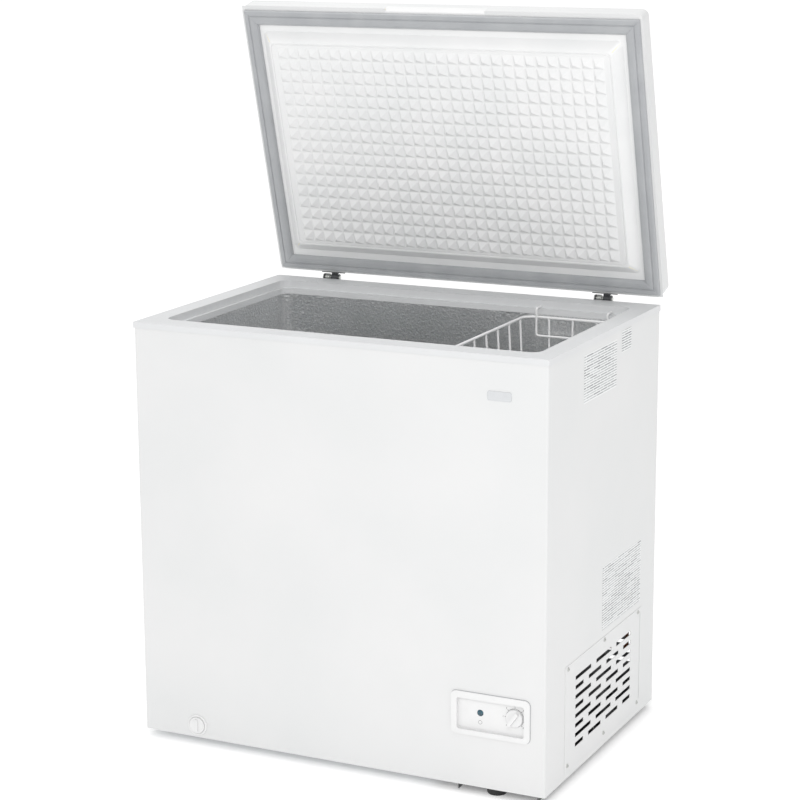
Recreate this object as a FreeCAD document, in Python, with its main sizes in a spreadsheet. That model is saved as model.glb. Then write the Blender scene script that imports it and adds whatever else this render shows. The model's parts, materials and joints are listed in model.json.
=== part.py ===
import FreeCAD, Part
import Sketcher
import math
import os

# A chest freezer standing on four feet, lid open. The frame is +Z up with the floor at z = 0,
# the front facing -Y and +X to the right seen from the front.

doc = FreeCAD.newDocument("chest_freezer")
sheet = doc.addObject("Spreadsheet::Sheet", "dims")

# Driving dimensions, in millimetres and degrees.
SIZES = {
    # cabinet
    "width": 800, "depth": 540, "box_height": 770, "foot_height": 14,
    "sheet_metal": 0.8, "wrap_corner": 3, "over": 1,
    # collar round the opening
    "collar_proud": 1.5, "collar_band": 11, "collar_wall": 2.5,
    "rim_side": 36, "rim_front": 44, "rim_back": 48,
    "ledge_drop": 14, "ledge_width": 6, "lower_drop": 25, "opening_corner": 20,
    # tank
    "liner_sheet": 1, "liner_corner": 18, "liner_tuck": 6,
    "floor_foam": 45, "bay_width": 215, "bay_height": 230, "bay_foam": 48, "foam_collar": 40,
    # lid
    "lid_proud": 2, "lid_gap": 8, "lid_thick": 35, "lid_angle": 75, "lid_corner": 12, "lid_edge": 4,
    "lid_lip": 8, "gasket_width": 28, "gasket_in": 5, "gasket_front": 9,
    "gasket_clear": 0.4, "lid_liner_sheet": 2,
    "plug_lip": 41, "plug_lip_front": 50, "plug_lip_back": 47, "plug_drop": 16,
    "handle_width": 200, "handle_tall": 14, "handle_chamfer": 5,
    # hinges
    "hinge_offset": 286, "pivot_back": 10.5, "pivot_up": 1.5, "pin_radius": 4, "pin_clear": 0.05,
    "pin_head": 2, "knuckle_radius": 6, "knuckle_width": 26, "cheek_gap": 14, "cheek_sheet": 2,
    "cheek_radius": 7, "cheek_foot": 12, "bracket_gap": 0.1, "bracket_drop": 76, "bracket_top": 9,
    "ear_width": 14, "ear_tall": 40, "lug_low": 10, "lug_high": 30,
    "leaf_width": 50, "leaf_sheet": 2, "leaf_tall": 30, "leaf_gap": 0.5, "leaf_arm": 3,
    "leaf_screw_apart": 34, "leaf_screw_down": 9,
    "spring_corner": 7.1, "spring_bend": 5.6, "spring_wire": 0.9, "spring_pitch": 2.3, "spring_turns": 4,
    "spring_room": 13,
    # control panel
    "panel_in": 176, "panel_base": 94, "panel_width": 148, "panel_tall": 78, "panel_proud": 3,
    "panel_corner": 10, "recess_side": 11, "recess_top": 12, "recess_base": 9, "recess_deep": 7,
    "recess_corner": 4, "panel_wall": 2, "knob_across": 118, "knob_up": 42, "knob_radius": 15.5,
    "knob_tall": 13, "knob_edge": 1, "grip_wide": 6, "grip_tall": 8, "grip_short": 0.6,
    "grip_corner": 2, "knob_turn": 35, "shaft_radius": 3, "shaft_clear": 0.05, "shaft_grip": 8,
    "shaft_tail": 11, "lamp_across": 53, "lamp_up": 41, "lamp_radius": 6, "lens_dome": 2,
    "lens_crown": 3, "lens_crown_up": 1.7, "lens_brow": 5.1, "lens_brow_up": 0.9,
    "lamp_neck": 4, "lamp_long": 12, "lamp_cap": 6, "running_gap": 0.4,
    "housing_deep": 52, "housing_margin": 6, "thermostat_size": 34, "thermostat_deep": 26,
    # sensing bulb
    "bulb_across": 10, "bulb_out": 18, "bulb_radius": 3.5, "bulb_long": 90, "bulb_start": 80,
    "bulb_below": 8, "bulb_bend": 15, "pipe_clear": 1,
    # drain
    "drain_across": 110.6, "drain_up": 23.3, "socket_radius": 20, "socket_proud": 2, "socket_wall": 2,
    "socket_long": 12, "socket_edge": 0.8, "socket_floor": 0.8, "plug_radius": 15.5, "plug_proud": 3,
    "plug_edge": 1, "plug_stem": 16, "plug_grip": 6, "plug_grip_short": 4, "drain_bore": 7,
    "drain_wall": 1.6, "drain_bend": 15, "drain_set_back": 140, "stopper_radius": 14,
    "stopper_plate": 3, "stopper_edge": 1.5, "stopper_stem": 14, "stopper_nose": 3,
    "stopper_knob": 5, "stopper_tall": 12,
    # side grille
    "grille_front": 88, "grille_back": 474, "grille_low": 12, "grille_high": 208, "grille_proud": 0.8,
    "grille_corner": 4, "ridge_wide": 3, "ridge_proud": 0.9, "ridge_in": 9,
    "slot_front": 137, "slot_back": 414, "slot_low": 46, "slot_tall": 7.5, "slot_pitch": 17.7,
    "slot_gap": 25, "slot_rows": 8, "half_slot": 39, "cover_overlap": 10, "vent_margin": 4,
    "screw_front": 101, "screw_mid": 278, "screw_back": 452, "screw_low": 23.5, "screw_high": 201.5,
    "screw_radius": 4, "screw_head": 1.6, "screw_brow": 0.7, "screw_crown": 2.9,
    "screw_shank": 1.7, "screw_long": 9, "screw_point": 1.5,
    # rear cover and cord gland
    "cover_sheet": 1, "cover_side": 8, "cover_low": 5, "cover_high": 8, "cover_slot_in": 45,
    "cover_slot_low": 70, "cover_screw_in": 14, "cover_screw_low": 12, "window_side": 20,
    "window_low": 15, "window_high": 20,
    "gland_in": 45, "gland_up": 36, "gland_bore": 4.2, "gland_neck": 7, "gland_flange": 9,
    "gland_tail": 6, "gland_nose": 12, "gland_tip": 6.5, "gland_rim": 10,
    # base
    "tray_in": 163, "tray_out": 13, "tray_hang": 9, "tray_sheet": 1, "tray_set_in": 0.4,
    "foot_radius": 19.5, "foot_sole": 16.5, "foot_edge": 2, "foot_cap": 15,
    "foot_set_back": 24, "left_foot_back": 80, "left_foot_in": 75, "rear_foot_back": 60, "tray_foot_in": 99,
    # compressor
    "compressor_radius": 58, "compressor_tall": 150, "compressor_back": 165,
    "shell_base": 6, "shell_foot": 16, "shell_foot_tall": 18, "seam_height": 76, "seam_half": 3,
    "seam_proud": 2, "dome_start": 34, "dome_mid": 12, "dome_top": 3, "dome_in": 16, "dome_crown": 34,
    "leg_sheet": 3, "leg_margin": 11, "leg_post": 20, "mount_across": 110, "mount_along": 120,
    "grommet_tall": 12, "grommet_radius": 9, "grommet_waist": 7,
    "groove_up": 5.5, "groove_half": 1.5, "bolt_radius": 3.2, "bolt_head": 7,
    "bolt_head_tall": 4, "relay_wide": 30, "relay_deep": 22, "relay_low": 32, "relay_high": 60,
    "relay_gap": 2, "terminal_wide": 48, "terminal_deep": 34, "terminal_low": 24, "terminal_high": 68,
    "terminal_wall": 2, "terminal_corner": 4,
    # pipework
    "pipe_radius": 3, "pipe_bend": 12, "pipe_stop": 2, "capillary_radius": 1.2, "capillary_bend": 10,
    "discharge_side": 22, "discharge_back": 60, "pipe_in": 30, "suction_side": 25, "suction_back": 36,
    "suction_rise": 6, "suction_in": 60, "crown_drop": 45, "pipe_root": 12,
    "drier_in": 34, "drier_front": 40, "drier_low": 60, "drier_radius": 9, "drier_neck": 2.5,
    "drier_taper": 8, "drier_long": 88, "drier_tail": 8, "capillary_top": 196, "capillary_in": 90,
    "capillary_front": 14,
    # condenser and evaporator
    "condenser_tube": 2.4, "condenser_runs": 6, "condenser_low": 330, "condenser_top": 90,
    "condenser_bend": 25, "condenser_start": 6, "coil_end": 60, "coil_skin": 0.6,
    "evaporator_tube": 4, "evaporator_low": 345, "evaporator_top": 150, "evaporator_turns": 6,
    "evaporator_start": 100, "evaporator_stop": 120,
    # basket
    "basket_width": 190, "basket_side_gap": 10, "basket_end_gap": 7, "basket_deep": 190,
    "basket_taper": 14, "wire_radius": 2, "rim_wire": 2.6, "weld_sink": 0.2, "floor_sink": 0.3,
    "basket_sink": 29, "basket_corner": 24, "hanger_width": 141, "hanger_drop": 34, "hanger_bend": 4.5,
    "hook_in": 1, "wire_end": 2, "wire_inset": 3, "end_wires": 3, "side_wires": 8,
    # labels
    "label_sheet": 0.3, "rating_front": 161, "rating_back": 318, "rating_low": 109, "rating_high": 24,
    "class_front": 344, "class_back": 391, "class_low": 53, "class_high": 14,
    "care_front": 265, "care_back": 461, "care_above": 14, "care_tall": 119,
    "badge_in": 110, "badge_out": 66, "badge_down": 78, "badge_up": 62, "badge_proud": 1,
    "badge_corner": 3,
}
for row, (alias, size) in enumerate(SIZES.items(), 1):
    sheet.set(f"A{row}", alias)
    sheet.set(f"B{row}", str(size))
    sheet.setAlias(f"B{row}", alias)
doc.recompute()
SNAP = 0.01

# Named places, each a formula in the words of the sheet.
FRONT_REACH = "(knob_tall + panel_proud - recess_deep + running_gap)"
BACK_REACH = ("(pivot_back - (pivot_back - lid_proud) * cos(lid_angle)"
              " + (lid_gap - pivot_up + lid_thick) * sin(lid_angle))")
LEFT = "(-width / 2)"
RIGHT = "(width / 2)"
FRONT = f"((-depth - {BACK_REACH} + {FRONT_REACH}) / 2)"
BACK = f"({FRONT} + depth)"
BASE = "foot_height"
TOP = "(foot_height + box_height)"
BAY_LEFT = f"({RIGHT} - bay_width)"
BAY_ROOF = f"({BASE} + bay_height)"
PLATE = f"({BASE} + sheet_metal)"
FLOOR = f"({PLATE} + floor_foam + liner_sheet)"
LEDGE = f"({TOP} - ledge_drop)"
PIVOT_Y = f"({BACK} + pivot_back)"
PIVOT_Z = f"({TOP} + pivot_up)"
RIM = f"({TOP} + lid_gap)"
PANEL_X = f"({RIGHT} - panel_in)"
PANEL_Z = f"({BASE} + panel_base)"
KNOB_X = f"({PANEL_X} + knob_across)"
KNOB_Z = f"({PANEL_Z} + knob_up)"
LAMP_X = f"({PANEL_X} + lamp_across)"
LAMP_Z = f"({PANEL_Z} + lamp_up)"
RECESS_Y = f"({FRONT} - panel_proud + recess_deep)"
THERMO_Y = f"({RECESS_Y} + panel_wall)"
DRAIN_X = f"({LEFT} + drain_across)"
DRAIN_Y = f"({FRONT} + drain_set_back)"
DRAIN_Z = f"({BASE} + drain_up)"
DRAIN_TUBE = "(drain_bore + drain_wall)"
TRAY_X0 = f"({RIGHT} - tray_in)"
TRAY_X1 = f"({RIGHT} - tray_out)"
COMP_X = f"(({TRAY_X0} + {TRAY_X1}) / 2)"
COMP_Y = f"({BACK} - compressor_back)"
SEAT = f"({BASE} + grommet_tall)"
CROWN = f"({SEAT} + compressor_tall - crown_drop)"
PIPE_X = f"({RIGHT} - pipe_in)"
DISCHARGE_Y = f"({BACK} - discharge_back)"
SUCTION_X = f"({BAY_LEFT} + suction_in)"
SUCTION_Y = f"({BACK} - suction_back)"
CAPILLARY_X = f"({BAY_LEFT} + capillary_in)"
CAPILLARY_Y = f"({SUCTION_Y} - capillary_front)"
CAPILLARY_Z = f"({BASE} + capillary_top)"
DRIER_X = f"({BAY_LEFT} + drier_in)"
DRIER_Y = f"({COMP_Y} - drier_front)"
BULB_X = f"({KNOB_X} + bulb_across)"
BULB_Y = f"({THERMO_Y} + bulb_out)"
BULB_Z = f"({BAY_ROOF} + bay_foam - bulb_below)"
LID_LEFT = f"({LEFT} - lid_proud)"
LID_RIGHT = f"({RIGHT} + lid_proud)"
LID_FRONT = f"({FRONT} - lid_proud)"
LID_BACK = f"({BACK} + lid_proud)"
LID_TOP = f"({RIM} + lid_thick)"
TURNS = {
    "x": FreeCAD.Rotation(FreeCAD.Vector(0, 1, 0), 90),
    "y": FreeCAD.Rotation(FreeCAD.Vector(-1, 0, 0), 90),
    "z": FreeCAD.Rotation(),
}
pieces = []


def linked(formula):
    """The formula with each size's name written as the sheet's alias."""
    parts = []
    word = ""
    for letter in str(formula) + " ":
        if letter.isalpha() or letter == "_":
            word += letter
            continue
        parts.append(f"dims.{word}" if word in SIZES else word)
        parts.append(letter)
        word = ""
    return "".join(parts).strip()


def number(formula):
    """The formula's value in millimetres."""
    return float(sheet.evalExpression(linked(formula)))


def point(x, y, z):
    return FreeCAD.Vector(number(x), number(y), number(z))


def block(name, low, high):
    """A box between two opposite corners, each corner three formulas."""
    box = doc.addObject("Part::Box", name)
    for side, axis, start, end in zip(("Length", "Width", "Height"), "xyz", low, high):
        box.setExpression(side, linked(f"({end}) - ({start})"))
        box.setExpression(f"Placement.Base.{axis}", linked(start))
    return box


def rod(name, start, along, radius, length):
    """A round bar from a point along +X, +Y or +Z."""
    bar = doc.addObject("Part::Cylinder", name)
    bar.setExpression("Radius", linked(radius))
    bar.setExpression("Height", linked(length))
    bar.Placement = FreeCAD.Placement(FreeCAD.Vector(), TURNS[along])
    for axis, place in zip("xyz", start):
        bar.setExpression(f"Placement.Base.{axis}", linked(place))
    return bar


def drill(name, middle, along, radius, reach):
    """A round cutter through a point, reaching the same length to both sides."""
    start = [f"{place} - ({reach})" if axis == along else place for axis, place in zip("xyz", middle)]
    return rod(name, start, along, radius, f"2 * ({reach})")


def parallel(axis):
    """Picks the straight edges that run along one axis."""
    def pick(edge):
        if edge.Curve.TypeId != "Part::GeomLine":
            return False
        return abs(getattr(edge.Curve.Direction, axis)) > 1 - SNAP
    return pick


def rounded(name, base, radius, pick):
    """The base with the picked edges rounded."""
    doc.recompute()
    fillet = doc.addObject("Part::Fillet", name)
    fillet.Base = base
    size = number(radius)
    edges = enumerate(base.Shape.Edges, 1)
    fillet.Edges = [(index, size, size) for index, edge in edges if pick(edge)]
    return fillet


def prism(name, low, high, radius, axis="z"):
    """A box with the four edges along one axis rounded."""
    return rounded(name, block(f"{name}_box", low, high), radius, parallel(axis))


def joined(name, parts):
    whole = doc.addObject("Part::MultiFuse", name)
    whole.Shapes = parts
    return whole


def grouped(name, parts):
    group = doc.addObject("Part::Compound", name)
    group.Links = parts
    return group


def cut(name, base, tools):
    """The base less one or more tools."""
    hole = doc.addObject("Part::Cut", name)
    hole.Base = base
    hole.Tool = tools[0] if len(tools) == 1 else joined(f"{name}_tools", tools)
    return hole


def piece(label, shape):
    """Names a finished sub-part, which is written to its own file."""
    shape.Label = label
    pieces.append(shape)
    return shape


def lid_piece(label, shape):
    """A sub-part of the lid, modelled shut and then swung open about the hinge line."""
    swung = grouped(f"{label}_open", [shape])
    swung.Placement = FreeCAD.Placement(
        FreeCAD.Vector(), FreeCAD.Rotation(FreeCAD.Vector(-1, 0, 0), number("lid_angle")),
        point("0", PIVOT_Y, PIVOT_Z))
    return piece(label, swung)


def route(corners, bend):
    """Straight runs joined by tangent arcs through a list of corners."""
    edges = []
    start = corners[0]
    for before, corner, after in zip(corners, corners[1:], corners[2:]):
        arriving = (corner - before).normalize()
        leaving = (after - corner).normalize()
        turn = arriving.getAngle(leaving)
        reach = bend * math.tan(turn / 2)
        first = corner - arriving * reach
        last = corner + leaving * reach
        inward = (leaving - arriving).normalize()
        middle = corner + inward * (bend / math.cos(turn / 2) - bend)
        edges.append(Part.LineSegment(start, first).toShape())
        edges.append(Part.Arc(first, middle, last).toShape())
        start = last
    edges.append(Part.LineSegment(start, corners[-1]).toShape())
    return Part.Wire(edges)


def swept(path, start, tangent, radius):
    """A round section carried along a path."""
    ring = Part.Wire(Part.Circle(start, tangent, number(radius)).toShape())
    return path.makePipeShell([ring], True, True)


def tube(name, corners, radius, bend, bore=None):
    """A bent tube or wire along a route, solid unless it has a bore."""
    path = route([point(*corner) for corner in corners], number(bend))
    first = path.Edges[0]
    start = first.valueAt(first.FirstParameter)
    tangent = first.tangentAt(first.FirstParameter)
    bent = doc.addObject("Part::Feature", name)
    bent.Shape = swept(path, start, tangent, radius)
    if bore:
        bent.Shape = bent.Shape.cut(swept(path, start, tangent, bore))
    return bent


def turned(name, profile, start, along="z"):
    """A body turned from a profile of (radius, height) formulas, set at a point along an axis."""
    body = doc.addObject("PartDesign::Body", name)
    sketch = body.newObject("Sketcher::SketchObject", f"{name}_profile")
    plane = [item for item in body.Origin.OriginFeatures if item.Role == "XZ_Plane"][0]
    sketch.AttachmentSupport = [(plane, "")]
    sketch.MapMode = "FlatFace"
    corners = [FreeCAD.Vector(number(across), number(up), 0) for across, up in profile]
    for index, corner in enumerate(corners):
        sketch.addGeometry(Part.LineSegment(corner, corners[(index + 1) % len(corners)]), False)
    for index in range(len(corners)):
        following = (index + 1) % len(corners)
        sketch.addConstraint(Sketcher.Constraint("Coincident", index, 2, following, 1))
    for index, (across, up) in enumerate(profile):
        for kind, formula in (("DistanceX", across), ("DistanceY", up)):
            value = number(formula)
            if abs(value) < SNAP:
                axis = -2 if kind == "DistanceX" else -1
                sketch.addConstraint(Sketcher.Constraint("PointOnObject", index, 1, axis))
                continue
            made = sketch.addConstraint(Sketcher.Constraint(kind, -1, 1, index, 1, value))
            sketch.setExpression(f"Constraints[{made}]", linked(formula))
    doc.recompute()
    turn = body.newObject("PartDesign::Revolution", f"{name}_turn")
    turn.Profile = sketch
    turn.ReferenceAxis = (sketch, ["V_Axis"])
    turn.Angle = 360
    body.Placement = FreeCAD.Placement(FreeCAD.Vector(), TURNS[along])
    for axis, place in zip("xyz", start):
        body.setExpression(f"Placement.Base.{axis}", linked(place))
    return body


def opening(name, side, front, back, low, high, radius):
    """A rounded upright prism inset from the cabinet's outline on its four sides."""
    return prism(name, (f"{LEFT} + {side}", f"{FRONT} + {front}", low),
                 (f"{RIGHT} - ({side})", f"{BACK} - ({back})", high), radius)


def screw(name, start, along):
    """A pan-head screw whose head stands on a face, seen from the side it is driven from."""
    return turned(name, [
        ("0", "-screw_long"), ("screw_shank", "-screw_long + screw_point"), ("screw_shank", "0"),
        ("screw_radius", "0"), ("screw_radius", "screw_brow"),
        ("screw_crown", "screw_head"), ("0", "screw_head")], start, along)


# Screw places, shared by the sheets that the screws go through.
grille_places = [(f"{RIGHT} + grille_proud", f"{FRONT} + {along}", f"{BASE} + {height}")
                 for along in ("screw_front", "screw_mid", "screw_back")
                 for height in ("screw_low", "screw_high")]
grille_holes = [drill(f"grille_hole_{index}", place, "x", "screw_shank", "screw_long + 2 * over")
                for index, place in enumerate(grille_places)]
cover_places = [(across, f"{BACK} + cover_sheet", height)
                for across in (f"{BAY_LEFT} + cover_screw_in", f"{RIGHT} - cover_screw_in")
                for height in (f"{BASE} + cover_screw_low", f"{BAY_ROOF} - cover_screw_in")]
cover_holes = [drill(f"cover_hole_{index}", place, "y", "screw_shank", "screw_long + 2 * over")
               for index, place in enumerate(cover_places)]
HINGES = {"left": "(-hinge_offset)", "right": "(hinge_offset)"}
BRACKET_Y = f"({BACK} + collar_proud + bracket_gap)"
lug_places = {hand: [(f"{across} + {flank} * (cheek_gap + cheek_sheet + ear_width / 2)",
                      f"{BRACKET_Y} + cheek_sheet", f"{TOP} - bracket_drop + {height}")
                     for flank in (-1, 1) for height in ("lug_low", "lug_high")]
              for hand, across in HINGES.items()}
lug_holes = {hand: [drill(f"lug_hole_{hand}_{index}", place, "y", "screw_shank", "screw_long + 2 * over")
                    for index, place in enumerate(places)]
             for hand, places in lug_places.items()}
all_lug_holes = lug_holes["left"] + lug_holes["right"]

# Outer wrap: one painted sheet folded round the front and both sides.
side_line = number("width / 2 - wrap_corner")
front_line = number(f"{FRONT} + wrap_corner")
WRAP_BEND = "(wrap_corner - sheet_metal)"


def folds(edge):
    """Picks the upright edges at the wrap's two folded corners."""
    middle = edge.CenterOfMass
    return parallel("z")(edge) and abs(middle.x) > side_line and middle.y < front_line


wrap_sheet = rounded("wrap_sheet", block("wrap_block", (LEFT, FRONT, BASE),
                                         (RIGHT, BACK, f"{TOP} - collar_wall")), "wrap_corner", folds)
wrap_inside = rounded("wrap_inside", block(
    "wrap_space", (f"{LEFT} + sheet_metal", f"{FRONT} + sheet_metal", f"{BASE} - over"),
    (f"{RIGHT} - sheet_metal", f"{BACK} + over", f"{TOP} + over")), WRAP_BEND, folds)
recess_low = (f"{PANEL_X} + recess_side", f"{PANEL_Z} + recess_base")
recess_high = (f"{PANEL_X} + panel_width - recess_side", f"{PANEL_Z} + panel_tall - recess_top")
wrap_window = block(
    "wrap_window", (f"{recess_low[0]} - panel_wall", f"{FRONT} - over", f"{recess_low[1]} - panel_wall"),
    (f"{recess_high[0]} + panel_wall", f"{FRONT} + sheet_metal + over", f"{recess_high[1]} + panel_wall"))
wrap_drain = drill("wrap_drain", (DRAIN_X, FRONT, DRAIN_Z), "y", f"{DRAIN_TUBE} + socket_wall",
                   "sheet_metal + over")
wrap_vent = block(
    "wrap_vent", (f"{RIGHT} - sheet_metal - over", f"{FRONT} + grille_front + cover_overlap",
                  f"{BASE} + grille_low + cover_overlap + vent_margin"),
    (f"{RIGHT} + over", f"{FRONT} + grille_back - cover_overlap",
     f"{BASE} + grille_high - cover_overlap - vent_margin"))
piece("outer_wrap", cut("outer_wrap", wrap_sheet,
                        [wrap_inside, wrap_window, wrap_drain, wrap_vent] + grille_holes))

# Rear, bottom and bay panels. The bay's pipes pass through holes in its roof.
rear_sheet = block("rear_sheet", (f"{LEFT} + sheet_metal", f"{BACK} - sheet_metal", BASE),
                   (f"{RIGHT} - sheet_metal", BACK, f"{TOP} - collar_wall"))
rear_window = block("rear_window", (f"{BAY_LEFT} + window_side", f"{BACK} - sheet_metal - over",
                                    f"{BASE} + window_low"),
                    (f"{RIGHT} - window_side", f"{BACK} + over", f"{BAY_ROOF} - window_high"))
piece("rear_panel", cut("rear_panel", rear_sheet, [rear_window] + cover_holes + all_lug_holes))
piece("bottom_panel", rounded("bottom_panel", block(
    "bottom_sheet", (f"{LEFT} + sheet_metal", f"{FRONT} + sheet_metal", BASE),
    (BAY_LEFT, f"{BACK} - sheet_metal", PLATE)), WRAP_BEND, folds))
bay_outside = rounded("bay_outside", block(
    "bay_block", (BAY_LEFT, f"{FRONT} + sheet_metal", BASE),
    (f"{RIGHT} - sheet_metal", f"{BACK} - sheet_metal", BAY_ROOF)), WRAP_BEND, folds)
bay_inside = block("bay_inside", (f"{BAY_LEFT} + sheet_metal", FRONT, f"{BASE} - over"),
                   (RIGHT, BACK, f"{BAY_ROOF} - sheet_metal"))
bay_holes = [drill(f"{name}_hole", (across, along, BAY_ROOF), "z", f"{size} + pipe_clear", "2 * over")
             for name, across, along, size in (
                 ("discharge", PIPE_X, DISCHARGE_Y, "pipe_radius"),
                 ("suction", SUCTION_X, SUCTION_Y, "evaporator_tube"),
                 ("capillary", CAPILLARY_X, CAPILLARY_Y, "capillary_radius"),
                 ("bulb", BULB_X, BULB_Y, "capillary_radius"))]
piece("bay_partition", cut("bay_partition", bay_outside, [bay_inside] + bay_holes))

# Collar: a moulded frame over the cabinet's top edge, with a ledge that the basket hooks rest on.
COLLAR_LOW = (f"{LEFT} - collar_proud", f"{FRONT} - collar_proud")
COLLAR_HIGH = (f"{RIGHT} + collar_proud", f"{BACK} + collar_proud")
collar_top = block("collar_top", (*COLLAR_LOW, f"{TOP} - collar_wall"), (*COLLAR_HIGH, TOP))
skirt_outside = block("skirt_outside", (*COLLAR_LOW, f"{TOP} - collar_band"),
                      (*COLLAR_HIGH, f"{TOP} - collar_wall"))
skirt_inside = block("skirt_inside", (LEFT, FRONT, f"{TOP} - collar_band - over"), (RIGHT, BACK, TOP))
collar_skirt = cut("collar_skirt", skirt_outside, [skirt_inside])
upper_outside = opening("upper_outside", "rim_side - collar_wall", "rim_front - collar_wall",
                        "rim_back - collar_wall", f"{LEDGE} - collar_wall", TOP,
                        "opening_corner + collar_wall")
lower_outside = opening("lower_outside", "rim_side + ledge_width - collar_wall",
                        "rim_front + ledge_width - collar_wall", "rim_back + ledge_width - collar_wall",
                        f"{TOP} - lower_drop", TOP, "opening_corner + collar_wall")
upper_mouth = opening("upper_mouth", "rim_side", "rim_front", "rim_back", LEDGE, f"{TOP} + over",
                      "opening_corner")
lower_mouth = opening("lower_mouth", "rim_side + ledge_width", "rim_front + ledge_width",
                      "rim_back + ledge_width", f"{TOP} - lower_drop - over", f"{TOP} + over",
                      "opening_corner")
collar_body = joined("collar_body", [collar_top, collar_skirt, upper_outside, lower_outside])
piece("top_collar", cut("top_collar", collar_body, [upper_mouth, lower_mouth]))


def tank_inset(rim, grow):
    """How far the tank's wall stands in from the cabinet's outline, less a skin."""
    return f"{rim} + ledge_width - collar_wall - ({grow})"


def tank(name, grow):
    """The tank's volume, deep at the left and shallow over the compressor bay, grown by a skin."""
    side, front, back = [tank_inset(rim, grow) for rim in ("rim_side", "rim_front", "rim_back")]
    lip = f"{TOP} - lower_drop + liner_tuck"
    corner = f"liner_corner + ({grow})"
    step = f"{BAY_ROOF} + bay_foam + liner_sheet - ({grow})"
    shallow = opening(f"{name}_shallow", side, front, back, step, lip, corner)
    deep = prism(f"{name}_deep", (f"{LEFT} + {side}", f"{FRONT} + {front}", f"{FLOOR} - ({grow})"),
                 (f"{BAY_LEFT} - bay_foam + ({grow})", f"{BACK} - ({back})", lip), corner)
    return joined(name, [shallow, deep])


# Liner: a stucco aluminium tank, with a drain hole in its floor.
drain_hole = drill("drain_hole", (DRAIN_X, DRAIN_Y, FLOOR), "z", DRAIN_TUBE, "2 * liner_sheet")
liner_skin = tank("liner_skin", "liner_sheet")
piece("inner_liner", cut("inner_liner", liner_skin, [tank("liner_space", "0"), drain_hole]))

# Drain: a bent tube from the tank's floor to a socket in the front, a plug outside, a stopper inside.
drain_route = [(DRAIN_X, DRAIN_Y, FLOOR), (DRAIN_X, DRAIN_Y, DRAIN_Z), (DRAIN_X, FRONT, DRAIN_Z)]
piece("drain_tube", tube("drain_tube", drain_route, DRAIN_TUBE, "drain_bend", "drain_bore"))
drain_solid = tube("drain_solid", drain_route, DRAIN_TUBE, "drain_bend")
DRAIN_FACE = (DRAIN_X, FRONT, DRAIN_Z)
socket_body = turned("socket_body", [
    (DRAIN_TUBE, "0"), (f"{DRAIN_TUBE} + socket_wall", "0"),
    (f"{DRAIN_TUBE} + socket_wall", "socket_long"), (DRAIN_TUBE, "socket_long")], DRAIN_FACE, "y")
socket_ring = turned("socket_ring", [
    (DRAIN_TUBE, "0"), ("socket_radius", "0"), ("socket_radius", "socket_edge - socket_proud"),
    ("socket_radius - socket_edge", "-socket_proud"), ("plug_radius + over", "-socket_proud"),
    ("plug_radius + over", "-socket_floor"), (DRAIN_TUBE, "-socket_floor")], DRAIN_FACE, "y")
drain_socket = piece("drain_socket", joined("drain_socket", [socket_body, socket_ring]))
PLUG_SEAT = "-(socket_floor + running_gap)"
PLUG_STEM = "(drain_bore - running_gap)"
plug_body = turned("plug_body", [
    ("0", f"{PLUG_SEAT} - plug_proud"), ("plug_radius - plug_edge", f"{PLUG_SEAT} - plug_proud"),
    ("plug_radius", f"{PLUG_SEAT} - plug_proud + plug_edge"), ("plug_radius", PLUG_SEAT),
    (PLUG_STEM, PLUG_SEAT), (PLUG_STEM, "plug_stem"), ("0", "plug_stem + over")], DRAIN_FACE, "y")
GRIP_HALF = "(plug_radius - plug_grip_short)"
plug_grip = block("plug_grip",
                  (f"{DRAIN_X} - plug_grip / 2", f"{FRONT} - plug_proud - plug_grip_short",
                   f"{DRAIN_Z} - {GRIP_HALF}"),
                  (f"{DRAIN_X} + plug_grip / 2", f"{FRONT} - plug_proud", f"{DRAIN_Z} + {GRIP_HALF}"))
piece("drain_plug", joined("drain_plug", [plug_body, plug_grip]))
piece("drain_stopper", turned("drain_stopper", [
    ("0", "-stopper_stem"), (f"{PLUG_STEM} - over", "-stopper_stem"),
    (PLUG_STEM, "stopper_nose - stopper_stem"), (PLUG_STEM, "running_gap"),
    ("stopper_radius", "running_gap"), ("stopper_radius", "stopper_plate"),
    ("stopper_radius - stopper_edge", "stopper_plate + stopper_edge"),
    ("stopper_knob", "stopper_plate + stopper_edge"), ("stopper_knob - over", "stopper_tall"),
    ("0", "stopper_tall")], (DRAIN_X, DRAIN_Y, FLOOR)))

# Control panel: a bezel with a recess, set into the front over the compressor bay.
bezel_plate = prism("bezel_plate", (PANEL_X, f"{FRONT} - panel_proud", PANEL_Z),
                    (f"{PANEL_X} + panel_width", FRONT, f"{PANEL_Z} + panel_tall"), "panel_corner", "y")
bezel_tub = block("bezel_tub",
                  (f"{recess_low[0]} - panel_wall", f"{FRONT} - over", f"{recess_low[1]} - panel_wall"),
                  (f"{recess_high[0]} + panel_wall", THERMO_Y, f"{recess_high[1]} + panel_wall"))
bezel_recess = prism("bezel_recess", (recess_low[0], f"{FRONT} - panel_proud - over", recess_low[1]),
                     (recess_high[0], RECESS_Y, recess_high[1]), "recess_corner", "y")
shaft_hole = drill("shaft_hole", (KNOB_X, RECESS_Y, KNOB_Z), "y", "shaft_radius + running_gap",
                   "panel_wall + over")
lamp_hole = drill("lamp_hole", (LAMP_X, RECESS_Y, LAMP_Z), "y", "lamp_radius", "panel_wall + over")
piece("control_panel", cut("control_panel", joined("bezel", [bezel_plate, bezel_tub]),
                           [bezel_recess, shaft_hole, lamp_hole]))
LAMP_FACE = (LAMP_X, RECESS_Y, LAMP_Z)
piece("indicator_lens", turned("indicator_lens", [
    ("0", "-lens_dome"), ("lens_crown", "-lens_crown_up"), ("lens_brow", "-lens_brow_up"),
    ("lamp_radius", "0"),
    ("lamp_radius", "panel_wall"), ("0", "panel_wall")], LAMP_FACE, "y"))
LAMP_STEP = "(panel_wall + lamp_long)"
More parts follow.
